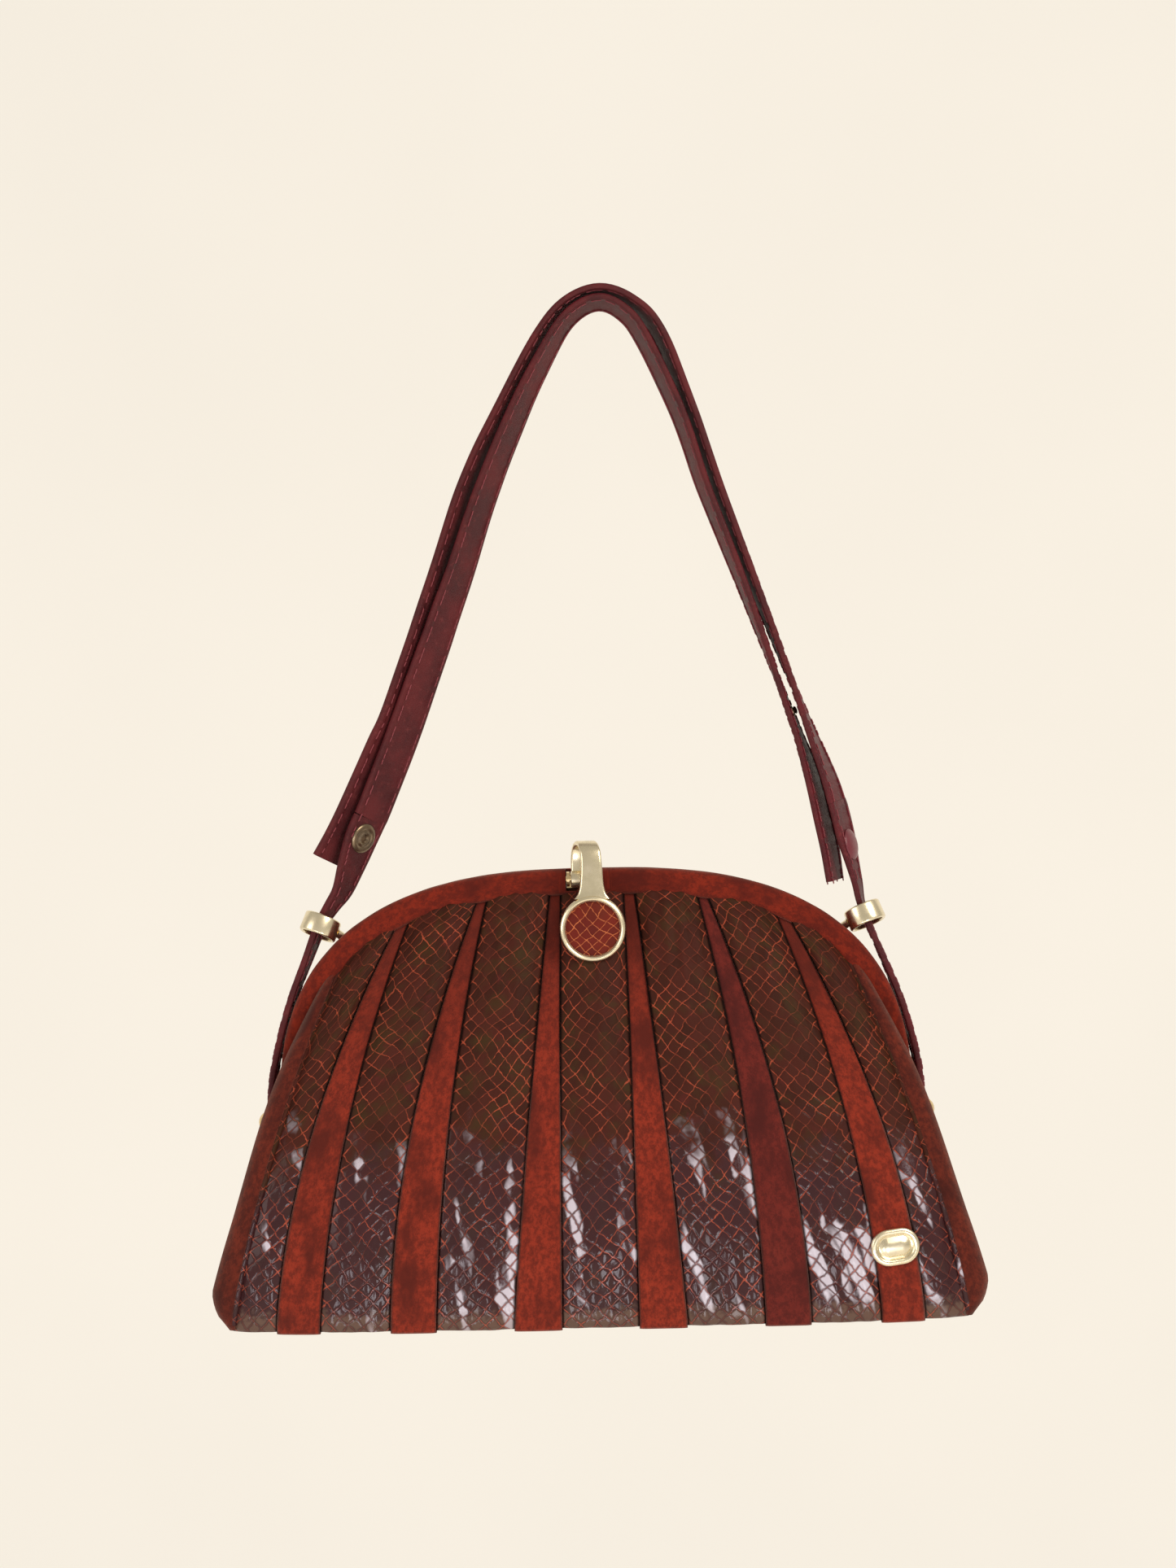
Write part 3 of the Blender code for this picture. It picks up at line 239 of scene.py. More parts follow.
def snakeskin(name, scale, net, dark, olive, gloss_from, gloss_to, width=6.2, height=6.6, foot_reflection_share=0.45,
              net_least=0.36):
    """Glazed reptile leather: a diamond net of scales, matt above and glossy towards the base.

    The gloss ends between the heights gloss_from and gloss_to; width and height are a scale's.
    """
    f = Finish(name, Specular_IOR_Level=0.1, Roughness=0.62, Coat_Roughness=0.13)
    grain = f.grain()
    warp = f.scaled(f.drift(grain, 0.06, 2.0), 6.0, 8.0, 0.0)
    fine = f.scaled(f.drift(grain, 0.5, 1.0), 0.9, 0.9, 0.0)
    place = f.vector("ADD", f.vector("ADD", grain, warp), fine)
    across, along, _ = f.split(f.scaled(place, 1 / width, 1 / height))
    first = f.math("ADD", along, across)
    second = f.math("SUBTRACT", along, across)
    first_part, second_part = f.math("FRACT", first), f.math("FRACT", second)
    edges = [f.math("MINIMUM", part, f.math("SUBTRACT", 1.0, part)) for part in (first_part, second_part)]
    edge = f.math("SMOOTH_MIN", edges[0], edges[1], 0.1)
    cell = f.join(f.math("FLOOR", first), f.math("FLOOR", second), f.split(grain)[2])
    chance = f.node("ShaderNodeTexWhiteNoise", {"Vector": cell}).outputs["Value"]
    rim = f.edge()
    height_on_bag = f.split(grain)[1]
    patches = f.noise(f.scaled(grain, 1.0, 0.6), 0.055, 2.0)
    near_rim = f.ramp(rim, 1.5, 6.0, 1.0, 0.0)
    shown = f.math("MAXIMUM", f.ramp(patches, 0.42, 0.66, net_least, 0.95), f.times(near_rim, 0.9))
    line = f.math("ADD", f.times(shown, 0.035), f.times(near_rim, 0.02))
    line = f.math("ADD", line, 0.02)
    net_share = f.math("SUBTRACT", 1.0, f.ramp(edge, f.times(line, 0.35), line))
    breaks = f.ramp(f.noise(grain, 0.7, 2.0), 0.3, 0.6, 0.35, 1.0)
    net_share = f.times(f.times(net_share, shown), breaks)
    gloss = f.ramp(f.math("ADD", height_on_bag, f.ramp(f.noise(grain, 0.09), 0.3, 0.7, -10.0, 10.0)),
                   gloss_from, gloss_to, 1.0, 0.0)
    colour = f.blend(f.times(chance, 0.7), scale, dark)
    colour = f.blend(f.ramp(f.noise(grain, 0.10, 4.0), 0.45, 0.75, 0.0, 0.8), colour, olive)
    colour = f.blend(f.ramp(f.noise(f.scaled(grain, 1.0, 0.7), 0.14, 3.0), 0.62, 0.8, 0.0, 0.4), colour,
                     WINE_STAIN)
    colour = f.blend(f.times(gloss, 0.6), colour, GLAZED_TONE)
    colour = f.blend(net_share, colour, net)
    # Painted reflection: pale streaks painted onto the scale tops in the glossy lower part, standing in for
    # reflections of the low windows.
    bands = f.math("ADD", across, f.times(along, 0.25))
    reflection_streak = f.noise(f.join(f.times(bands, 0.62), f.times(along, 0.11),
                            f.split(grain)[2]), 1.0, 2.0, 0.5)
    reflection_streak = f.ramp(f.math("ADD", reflection_streak, f.times(chance, 0.10)), 0.63, 0.70)
    pale = f.times(f.times(gloss, reflection_streak), f.ramp(edge, 0.02, 0.16, 0.1, 1.0))
    colour = f.blend(f.times(pale, 0.85), colour, PAINTED_REFLECTION_TONE)
    # Painted reflection: a paler tan painted onto the scale tops along the lowest part of the wall.
    foot = f.ramp(f.math("ADD", height_on_bag, f.ramp(f.noise(grain, 0.3), 0.3, 0.7, -2.5, 2.5)),
                  FOOT_REFLECTION_FADE[0], FOOT_REFLECTION_FADE[1], foot_reflection_share, 0.0)
    colour = f.blend(f.times(foot, f.ramp(edge, 0.02, 0.2, 0.3, 1.0)), colour, PAINTED_FOOT_REFLECTION)
    # Painted shade: darker in the grooves along the gore's side seams.
    colour = f.blend(f.ramp(rim, 0.15, 1.3, 0.9, 0.0), colour, PAINTED_SEAM_SHADE)
    plate = f.math("ADD", f.ramp(edge, 0.0, 0.22),
                   f.times(f.math("ADD", first_part, second_part), -0.25))
    fibres = f.times(f.noise(f.scaled(grain, 1.0, 0.4), 1.4, 2.0),
                    f.math("SUBTRACT", 0.3, f.times(gloss, 0.25)))
    creases = f.noise(f.scaled(f.vector("ADD", grain, warp), 1.0, 0.3), 0.14, 2.0, 0.5)
    normal = f.bump(f.math("ADD", plate, fibres), 0.16, 0.8, f.bump(creases, 3.0, 0.45))
    return f.set(Base_Color=colour, Coat_Weight=f.times(gloss, 0.4), Normal=normal,
                 Coat_Normal=normal)


def suede(name, colour, dark, light, nap=1.0, shade=0.0):
    """Brushed suede: fine nap, soft blotches and a pale sheen; shade sets painted shade towards the frame, and
    its side edges get painted shade too.
    """
    f = Finish(name, Roughness=0.95, Specular_IOR_Level=0.15, Sheen_Weight=0.22, Sheen_Roughness=0.5,
               Sheen_Tint=(1.0, 0.62, 0.5, 1.0))
    grain = f.grain()
    blotch = f.noise(f.scaled(grain, 1.0, 0.6), 0.07, 4.0, 0.6)
    fibres = f.noise(f.scaled(grain, 1.0, 0.7), 0.42, 6.0, 0.8)
    tone = f.blend(f.ramp(blotch, 0.3, 0.55), dark, colour)
    tone = f.blend(f.ramp(blotch, 0.55, 0.85, 0.0, 0.6), tone, light)
    tone = f.blend(f.ramp(fibres, 0.40, 0.60, 0.75, 0.0), tone, dark)
    # Painted shade: darker along the side edges, in the seam grooves.
    tone = f.blend(f.ramp(f.edge(), 0.1, 1.0, 0.6, 0.0), tone, PAINTED_SEAM_SHADE)
    # Painted shade: darker towards the frame, where the upper gores lie in the frame's shadow.
    tone = f.blend(f.ramp(f.split(grain)[1], 95.0, 200.0, 0.0, shade), tone, dark)
    height = f.math("ADD", fibres, f.times(f.noise(grain, 3.5, 2.0), 0.5))
    return f.set(Base_Color=tone, Normal=f.bump(height, 0.22 * nap, 0.8))


def smooth_leather(name, colour, dark, light, roughness=0.42):
    """Satin strap leather with a fine pebble grain and creases across its length."""
    f = Finish(name, Specular_IOR_Level=0.22)
    grain = f.grain()
    cells = f.node("ShaderNodeTexVoronoi", {"Vector": grain, "Scale": 1.5},
                   feature="DISTANCE_TO_EDGE").outputs["Distance"]
    creases = f.noise(f.scaled(grain, 0.25, 1.3), 0.5, 3.0)
    blotch = f.noise(grain, 0.06, 4.0, 0.6)
    tone = f.blend(f.ramp(blotch, 0.3, 0.7), dark, colour)
    tone = f.blend(f.ramp(f.noise(grain, 0.35, 4.0), 0.55, 0.8, 0.0, 0.5), tone, light)
    height = f.math("ADD", f.ramp(cells, 0.0, 0.25), f.times(creases, 1.2))
    rough = f.ramp(blotch, 0.3, 0.7, roughness - 0.06, roughness + 0.1)
    return f.set(Base_Color=tone, Roughness=rough, Normal=f.bump(height, 0.12, 0.6))


def metal(name, colour, roughness, wear):
    """Plated metal with faint scratches and slightly worn, duller patches."""
    f = Finish(name, Metallic=1.0)
    place = f.node("ShaderNodeTexCoord").outputs["Object"]
    patches = f.noise(place, 180.0, 4.0, 0.65)
    scratches = f.noise(f.scaled(place, 1.0, 1.0, 14.0), 420.0, 2.0)
    tone = f.blend(f.ramp(patches, 0.4, 0.75, 0.0, 0.75), colour, wear)
    rough = f.ramp(patches, 0.3, 0.8, roughness, roughness + 0.16)
    return f.set(Base_Color=tone, Roughness=rough, Normal=f.bump(scratches, 0.01, 0.2))


def cloth(name, colour, dark):
    """Woven lining twill."""
    f = Finish(name, Roughness=0.6, Sheen_Weight=0.2)
    grain = f.grain()
    x, y, _ = f.split(grain)
    twill = f.math("SINE", f.times(f.math("ADD", x, y), 7.0))
    weave = f.times(twill, f.math("SINE", f.times(y, 9.0)))
    tone = f.blend(f.ramp(f.noise(grain, 0.08, 3.0), 0.3, 0.7), dark, colour)
    tone = f.blend(f.ramp(weave, -1.0, 1.0, 0.25, 0.0), tone, dark)
    return f.set(Base_Color=tone, Normal=f.bump(weave, 0.08, 0.6))


def plain(name, colour, roughness):
    """Evenly coloured finish with a little variation and a fine surface."""
    f = Finish(name, Roughness=roughness)
    grain = f.grain()
    tone = f.blend(f.ramp(f.noise(grain, 1.2, 3.0), 0.35, 0.7, 0.0, 0.35), colour,
                   tuple(c * 0.5 for c in colour[:3]) + (1.0,))
    return f.set(Base_Color=tone, Normal=f.bump(f.noise(grain, 4.0, 2.0), 0.06, 0.5))


SNAKE = snakeskin("snakeskin", (0.062, 0.013, 0.008, 1), (0.38, 0.068, 0.032, 1), (0.026, 0.008, 0.004, 1),
                  (0.042, 0.023, 0.007, 1), 62.0, 92.0)
INLAY = snakeskin("inlay_snakeskin", (0.15, 0.016, 0.009, 1), (0.50, 0.14, 0.05, 1), (0.07, 0.010, 0.008, 1),
                  (0.11, 0.016, 0.008, 1), -60.0, -40.0, 5.2, 5.2, 0.0, 0.95)
# The strip suede carries painted shade towards the frame.
SUEDE = suede("suede", (0.245, 0.025, 0.011, 1), (0.085, 0.010, 0.006, 1), (0.35, 0.046, 0.020, 1), 1.4,
              shade=0.8)
SUEDE_DARK = suede("suede_dark", (0.13, 0.015, 0.011, 1), (0.06, 0.008, 0.007, 1), (0.19, 0.027, 0.017, 1))
# A darker copy of the strip suede for the rolled edges: its colour is partly the suede's own and partly
# painted shade on the edges that turn away from the light.
ROLL_SUEDE_PARTLY_SHADED = suede("suede_roll", (0.13, 0.018, 0.009, 1), (0.045, 0.007, 0.005, 1),
                   (0.19, 0.031, 0.014, 1), 1.4)
FRAME_SUEDE = suede("frame_suede", (0.19, 0.016, 0.006, 1), (0.075, 0.007, 0.004, 1),
                    (0.24, 0.024, 0.009, 1), 0.8)
STRAP_OUT = smooth_leather("strap_leather", (0.115, 0.009, 0.014, 1), (0.058, 0.005, 0.009, 1),
                           (0.21, 0.028, 0.030, 1))
STRAP_IN = smooth_leather("strap_lining", (0.11, 0.014, 0.016, 1), (0.055, 0.007, 0.009, 1),
                          (0.19, 0.035, 0.035, 1), 0.55)
THREAD = plain("thread", (0.22, 0.035, 0.045, 1), 0.7)
GOLD = metal("gold", (0.83, 0.62, 0.33, 1), 0.16, (0.62, 0.50, 0.34, 1))
PALE_GOLD = metal("pale_gold", (0.90, 0.79, 0.56, 1), 0.22, (0.68, 0.59, 0.44, 1))
STEEL = metal("steel", (0.55, 0.55, 0.55, 1), 0.3, (0.35, 0.34, 0.33, 1))
OLD_BRASS = metal("antique_brass", (0.26, 0.19, 0.12, 1), 0.3, (0.10, 0.075, 0.06, 1))
CAP = plain("snap_cap", (0.16, 0.022, 0.034, 1), 0.35)
LINING = cloth("lining", (0.20, 0.10, 0.06, 1), (0.10, 0.045, 0.03, 1))


# ---------------- building meshes

LEAST_RADIUS = 0.01
CLOSED_EDGE = 9.0  # "edge" value of a closed section, which has no side edges


class Piece:
    """A mesh under construction, in millimetres, with surface coordinates for its material."""

    def __init__(self):
        self.points, self.faces, self.grain, self.edge, self.slots = [], [], [], [], []

    def grid(self, rows, closed=False, caps=False, slot=0, slots=None, shift=(0.0, 0.0), number=0.0):
        """Rows of points joined into quads; slots gives a material for each column."""
        start, count = len(self.points), len(rows[0])
        along = shift[1]
        for r, row in enumerate(rows):
            if r:
                along += (Vector(row[count // 2]) - Vector(rows[r - 1][count // 2])).length
            steps = [0.0]
            for a, b in zip(row, row[1:]):
                steps.append(steps[-1] + (Vector(b) - Vector(a)).length)
            middle = 0.0 if closed else steps[-1] / 2
            self.points += [Vector(p) for p in row]
            self.grain += [(s - middle + shift[0], along, number) for s in steps]
            self.edge += [CLOSED_EDGE if closed else min(s, steps[-1] - s) for s in steps]
        for r in range(len(rows) - 1):
            for i in range(count if closed else count - 1):
                j = (i + 1) % count
                low, high = start + r * count, start + (r + 1) * count
                self.faces.append((low + i, low + j, high + j, high + i))
                self.slots.append(slots[i] if slots else slot)
        if caps:
            last = start + (len(rows) - 1) * count
            self.faces += [tuple(start + i for i in reversed(range(count))),
                           tuple(last + i for i in range(count))]
            self.slots += [slots[0] if slots else slot] * 2
        return self

    def turned(self, profile, place, steps=48):
        """(radius, height) pairs from the top down the outside, about the placement's Z."""
        rows = []
        for radius, height in profile:
            radius = max(radius, LEAST_RADIUS)
            angles = [2 * math.pi * i / steps for i in range(steps)]
            rows.append([place @ Vector((radius * math.cos(a), radius * math.sin(a), height)) for a in angles])
        return self.grid(rows[::-1], closed=True, caps=True)

    def build(self, name, materials, body=None, smooth=40, thickness=0.0, inner=None):
        """Make the object; edges sharper than the smooth angle, in degrees, stay sharp."""
        mesh = bpy.data.meshes.new(name)
        mesh.from_pydata([world(p) for p in self.points], [], self.faces)
        attribute = mesh.attributes.new("grain", "FLOAT_VECTOR", "POINT")
        attribute.data.foreach_set("vector", [c for g in self.grain for c in g])
        mesh.attributes.new("edge", "FLOAT", "POINT").data.foreach_set("value", self.edge)
        for material in materials:
            mesh.materials.append(material)
        mesh.polygons.foreach_set("material_index", self.slots)
        mesh.shade_smooth()
        mesh.set_sharp_from_angle(angle=math.radians(smooth))
        obj = bpy.data.objects.new(name, mesh)
        bpy.context.scene.collection.objects.link(obj)
        if thickness:
            if inner:
                mesh.materials.append(inner)
            solidify = obj.modifiers.new("Thickness", "SOLIDIFY")
            solidify.thickness = thickness * MM
            solidify.offset = -1
            solidify.material_offset = len(materials) if inner else 0
        if body:
            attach(obj, body)
        return obj


def blend_front(obj):
    """Front leather, with its placement baked into its mesh."""
    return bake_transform(obj)


def attach_leather(obj, front):
    if front:
        blend_front(obj)
    else:
        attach(obj, "bag")


def rounded_rectangle(width, height, radius, corner_points):
    outline = []
    for quarter, (sx, sy) in enumerate(((1, 1), (-1, 1), (-1, -1), (1, -1))):
        for share in fractions(corner_points):
            angle = math.radians(90 * (quarter + share))
            outline.append((sx * (width / 2 - radius) + radius * math.cos(angle),
                            sy * (height / 2 - radius) + radius * math.sin(angle)))
    return outline


# ---------------- shape of the frame and the walls

def arch_height(x, inset):
    half, rise = ARCH_HALF_WIDTH - inset, ARCH_RISE - inset
    return HINGE_Z + rise * max(0.0, 1 - (abs(x) / half) ** ARCH_POWER) ** (1 / ARCH_POWER)


def arch_line(inset, foot_z, steps):
    half, rise = ARCH_HALF_WIDTH - inset, ARCH_RISE - inset
    start = math.asin(((foot_z - HINGE_Z) / rise) ** (ARCH_POWER / 2))
    line = []
    for angle in fractions(steps, math.pi - start, start):
        x = half * abs(math.cos(angle)) ** (2 / ARCH_POWER)
        line.append((math.copysign(x, math.cos(angle)), HINGE_Z + rise * math.sin(angle) ** (2 / ARCH_POWER)))
    return line


def half_width(z):
    above = z - WIDEST_Z
    if above < 0:
        return WIDEST - 6.0 * (-above / WIDEST_Z) ** 2
    return WIDEST - 0.27 * above - 0.00109 * above ** 2


def seam_top_z(seam):
    return arch_height(seam[2], TOP_INSET)


def seam_x(seam, z):
    heights = (0.0, HINGE_Z, seam_top_z(seam))
    total = 0.0
    for i, width in enumerate(seam):
        weight = 1.0
        for j in range(3):
            if j != i:
                weight *= (z - heights[j]) / (heights[i] - heights[j])
        total += width * weight
    return total


def depth_at(level):
    """Distance of a wall from the centre plane; level is 0 at the foot, 1 at the fold, 2 at the frame."""
    if level <= 1:
        z = mix(FOOT_Z, FOLD_Z, level)
        return FOLD_DEPTH + 4.2 * math.sin(math.pi * (FOLD_Z - z) / 95.0)
    rise = level - 1
    return mix(FOLD_DEPTH, DEPTH_AT_FRAME, rise) + 3.0 * math.sin(math.pi * rise)


def drop_at(x, z, level):
    """How far a wall falls back towards its side edge."""
    return SIDE_DROP * min(1.0, abs(x) / half_width(z)) ** 5 * min(1.0, 2 - level)


def wall_row(left, right, places, level, offset=0.0):
    """Points across a wall between two signed seams, at places from 0 to 1."""
    row = []
    for place in places:
        ends = []
        for side, seam in (left, right):
            top_z = seam_top_z(seam)
            z = mix(FOOT_Z, FOLD_Z, level) if level <= 1 else mix(FOLD_Z, top_z, level - 1)
            ends.append((side * seam_x(seam, z), z, side * seam[2], top_z))
        x, z, top_x, chord = [mix(a, b, place) for a, b in zip(*ends)]
        z += max(0.0, level - 1) * (arch_height(top_x, TOP_INSET) - chord)
        row.append(Vector((x, drop_at(x, z, level) - depth_at(level) - offset, z)))
    return row


def signed_seams():
    return [(-1, seam) for seam in reversed(SEAMS)] + [(1, seam) for seam in SEAMS]


def turn_to_back(rows):
    return [[Vector((-p[0], -p[1], p[2])) for p in row] for row in rows]


# ---------------- leather walls

def puff(kind, place, level, u, seed):
    """How far a gore stands out from the wall, across its width and up its height."""
    side = abs(2 * place - 1)
    if kind == "snakeskin":
        swell = 1.5 + 2.6 * smoothstep(0.8, 1.6, level) - 1.6 * smoothstep(1.88, 2.0, level)
        stand = swell * (1 - side ** 2.6) - 1.0 + 0.9 * smoothstep(0.9, 1.7, level)
        gathers = 0.35 * smoothstep(1.35, 1.95, level) * math.sin(u * 0.95 + 3 * seed)
        stand += gathers * (1 - side ** 4)
        folds = noise.noise(Vector((u / 6.5 + 1.2 * level, level * 1.6, seed * 7.3)))
        stand += 1.5 * folds * smoothstep(1.0, 0.3, level) * (1 - side ** 6)
        stand += 0.5 * noise.noise(Vector((u / 12, level * 4, seed * 3.1)))
    else:
        stand = 0.8 * (1 - side ** 8) - 0.7 - 1.1 * smoothstep(0.7, 1.5, level)
        stand += 0.25 * noise.noise(Vector((u / 14, level * 5, seed * 5.7)))
    return stand


def gore_rows(left, right, kind, seed, columns):
    """One gore from its turned-under foot to the frame."""
    places = fractions(columns)
    foot_drop = 0.9 if kind == "suede" else 0.0
    rows = []
    for inset, lift in FOOT_TURN_IN:
        row = wall_row(left, right, places, 0.0, -inset)
        rows.append([Vector((p.x, p.y - puff(kind, place, 0.0, p.x, seed), lift - foot_drop))
                     for p, place in zip(row, places)])
    levels = fractions(30, 0.01, 1.0) + fractions(46, 1.02, 2.0)
    for level in levels:
        row = wall_row(left, right, places, level)
        rows.append([Vector((p.x, p.y - puff(kind, place, level, p.x, seed), p.z))
                     for p, place in zip(row, places)])
    return rows


def make_gores():
    """The thirteen gores of the front, and the same again on the back."""
    seams = signed_seams()
    for index, (left, right) in enumerate(zip(seams, seams[1:])):
        kind = ("snakeskin", "suede")[index % 2]
        number = index // 2 + 1
        material = SNAKE if kind == "snakeskin" else (SUEDE_DARK if number == 5 else SUEDE)
        columns = 25 if kind == "snakeskin" else 15
        for face in ("front", "back"):
            seed = index + (0 if face == "front" else 20)
            rows = gore_rows(left, right, kind, seed, columns)
            if face == "back":
                rows = turn_to_back(rows)
            piece = Piece().grid(rows, shift=(37.0 * index, 0.0), number=seed)
            obj = piece.build(f"{face}_{kind}_{number}", [material], thickness=1.0, inner=LINING)
            if face == "front":
                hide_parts(f"{kind}_{number}_lower", f"{kind}_{number}_upper")
                blend_front(obj)
            else:
                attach(obj, "bag")
    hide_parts("back_panel")


def make_linings():
    """Cloth-covered boards inside both walls."""
    seams = signed_seams()
    places = fractions(41)
    levels = fractions(9, 0.02, 1.0) + fractions(14, 1.05, 1.985)
    rows = [wall_row(seams[0], seams[-1], places, level, -3.2) for level in levels]
    front = Piece().grid(rows).build("front_lining", [LINING], thickness=1.0)
    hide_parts("front_board_lower", "front_board_upper")
    blend_front(front)
    back = Piece().grid(turn_to_back(rows)).build("back_lining", [LINING], "bag", thickness=1.0)
    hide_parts("back_board")


def roll_section(level):
    """Section of the rolled suede edge, from the outer seam round the body's side edge, and its end."""
    seam = SEAMS[-1]
    start = wall_row((1, seam), (1, seam), [0.0], level)[0]
    z = start.z
    edge_x = max(half_width(z) + 0.6 + 4.0 * smoothstep(40.0, 110.0, z), start.x + 0.6)
    edge_y = SIDE_DROP * min(1.0, 2 - level) - depth_at(level)
    width = edge_x - start.x
    knots = [
        (start.x + 0.1, start.y + 0.9, z),
        (start.x + 0.5, start.y - 1.1, z),
        (start.x + 0.35 * width, mix(start.y, edge_y, 0.25) - 2.6, z),
        (start.x + 0.78 * width, mix(start.y, edge_y, 0.72) - 2.2, z),
        (edge_x + 0.2, edge_y + 0.8, z),
        (edge_x + 0.3, edge_y + 3.4, z),
        (edge_x - 1.4, edge_y + 6.0, z),
        (edge_x - 3.6, edge_y + 6.8, z),
    ]
    tip = smoothstep(1.8, 2.0, level)
    return [Vector(p) + Vector((0, 2.0 * tip, 0)) for p in catmull_rom(knots, 1.6)], knots[-1]


def resample(points, count):
    """The same line with evenly spaced points."""
    lengths = [0.0]
    for a, b in zip(points, points[1:]):
        lengths.append(lengths[-1] + (Vector(b) - Vector(a)).length)
    result, i = [], 0
    for target in fractions(count, 0.0, lengths[-1]):
        while i < len(points) - 2 and lengths[i + 1] < target:
            i += 1
        share = (target - lengths[i]) / max(1e-6, lengths[i + 1] - lengths[i])
        result.append(Vector(points[i]).lerp(Vector(points[i + 1]), share))
    return result


def make_sides():
    """Rolled suede edges front and back, and the tucked gusset between them."""
    levels = [0.0] + fractions(30, 0.02, 1.0) + fractions(34, 1.03, 2.0)
    roll = []
    for level in levels:
        row = resample(roll_section(level)[0], 21)
        sink = 1.6 * (1 - smoothstep(0.0, 0.06, level))
        roll.append([Vector((p.x - sink, p.y + sink, p.z - 0.8 * sink)) for p in row])
    for side, label in ((1, "right"), (-1, "left")):
        for face in (-1, 1):
            rows = [[Vector((side * p.x, -face * p.y, p.z)) for p in row] for row in roll]
            if side * face > 0:
                rows = [row[::-1] for row in rows]
            where = "front" if face < 0 else "back"
            obj = Piece().grid(rows, number=side * 3 + face).build(f"side_roll_{where}_{label}", [ROLL_SUEDE_PARTLY_SHADED],
                                                                  thickness=1.2, inner=LINING)
            attach_leather(obj, face < 0)
        make_gusset(side, label)
        make_webs(side, label)


def make_webs(side, label):
    """Suede between each rolled edge and the leg of the frame, above the hinge."""
    rows = []
    for level in fractions(30, 1.0, 1.94):
        _, end = roll_section(level)
        x, y, z = end[0] + 0.6, end[1] - 0.4, end[2]
        rise = min(1.0, max(0.0, (z - HINGE_Z) / (ARCH_RISE - BAND_WIDTH / 2)))
        leg_x = (ARCH_HALF_WIDTH - BAND_WIDTH / 2) * (1 - rise ** ARCH_POWER) ** (1 / ARCH_POWER)
        row = []
        for place in fractions(9):
            sag = 1.6 * math.sin(math.pi * place) * (1 - 0.6 * (level - 1))
            row.append(Vector((mix(x, leg_x, place) - sag, mix(y, -6.6, place), z)))
        rows.append(row)
    for face, where in ((1, "front"), (-1, "back")):
        placed = [[Vector((side * p.x, face * p.y, p.z)) for p in row[::side * face]] for row in rows]
        obj = Piece().grid(placed, number=14 + side + face).build(f"side_web_{where}_{label}", [SUEDE_DARK],
                                                                  thickness=1.0, inner=LINING)
        attach_leather(obj, face > 0)


def make_piping():
    """Narrow snakeskin fold in the seam beside each rolled edge."""
    seam = SEAMS[-1]
    levels = fractions(34, 0.01, 1.0) + fractions(34, 1.03, 1.96)
    for face, where in ((1, "front"), (-1, "back")):
        for side, label in ((1, "right"), (-1, "left")):
            rows = []
            for level in levels:
                middle = wall_row((1, seam), (1, seam), [0.0], level, -0.5)[0]
                wave = 0.25 * noise.noise(Vector((middle.z / 7, side * 3.0, face)))
                radius = 1.5 + wave
                ring = []
                for turn in fractions(12, 0.0, 11 / 6 * math.pi):
                    point = middle + Vector((radius * math.cos(turn), -radius * math.sin(turn), 0))
                    ring.append(Vector((side * point.x, face * point.y, point.z)))
                rows.append(ring)
            obj = Piece().grid(rows, closed=True, caps=True, shift=(0.0, 20.0), number=side * 2 + face).build(
                f"piping_{where}_{label}", [SNAKE])
            attach_leather(obj, face > 0)


def make_gusset(side, label):
    """The side wall below the hinge, tucked inwards."""
    rows = []
    for level in fractions(34, 0.02, 1.0):
        _, end = roll_section(level)
        x, y, z = end[0], end[1] - 1.0, end[2]
        tuck = 11.0 * (z / HINGE_Z) ** 1.2 - 3.4
        row = []
        for place in fractions(31, -1.0, 1.0):
            ripple = 0.5 * noise.noise(Vector((place * 3, z / 16, side)))
            row.append(Vector((side * (x - tuck * (1 - place ** 2) + ripple), -y * place, z)))
        rows.append(row[::side])
    obj = Piece().grid(rows, number=9 + side).build(f"side_gusset_{label}", [SUEDE_DARK],
                                                    thickness=1.2, inner=LINING)
    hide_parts(f"gusset_{label}")
    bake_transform(obj)


def base_outline(inset):
    seams = signed_seams()
    front = wall_row(seams[0], seams[-1], fractions(41), 0.0, -inset)
    corner_x, corner_y = half_width(FOOT_Z) - inset, SIDE_DROP - depth_at(0.0) + inset + 1.0
    ring = [Vector((-corner_x, corner_y, 0))]
    ring += [Vector((p.x, p.y, 0)) for p in front]
    ring += [Vector((corner_x, corner_y, 0))]
    return ring + [Vector((-p.x, -p.y, 0)) for p in ring]


# Share of the outline's depth, share of its length, and height: from the rim to the middle
BASE_RINGS = ((1.0, 1.0, 1.6), (0.96, 0.996, 0.5), (0.9, 0.99, 0.25), (0.5, 0.99, 0.1), (0.0, 0.99, 0.1))


def make_base():
    outline = base_outline(2.2)
    rings = [[Vector((p.x * along, p.y * across, z)) for p in outline] for across, along, z in BASE_RINGS]
    obj = Piece().grid(rings[::-1], closed=True, caps=False).build("base_leather", [SUEDE_DARK], "bag")
    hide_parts("base_panel")
    paint("base_board", LINING)


# ---------------- frame

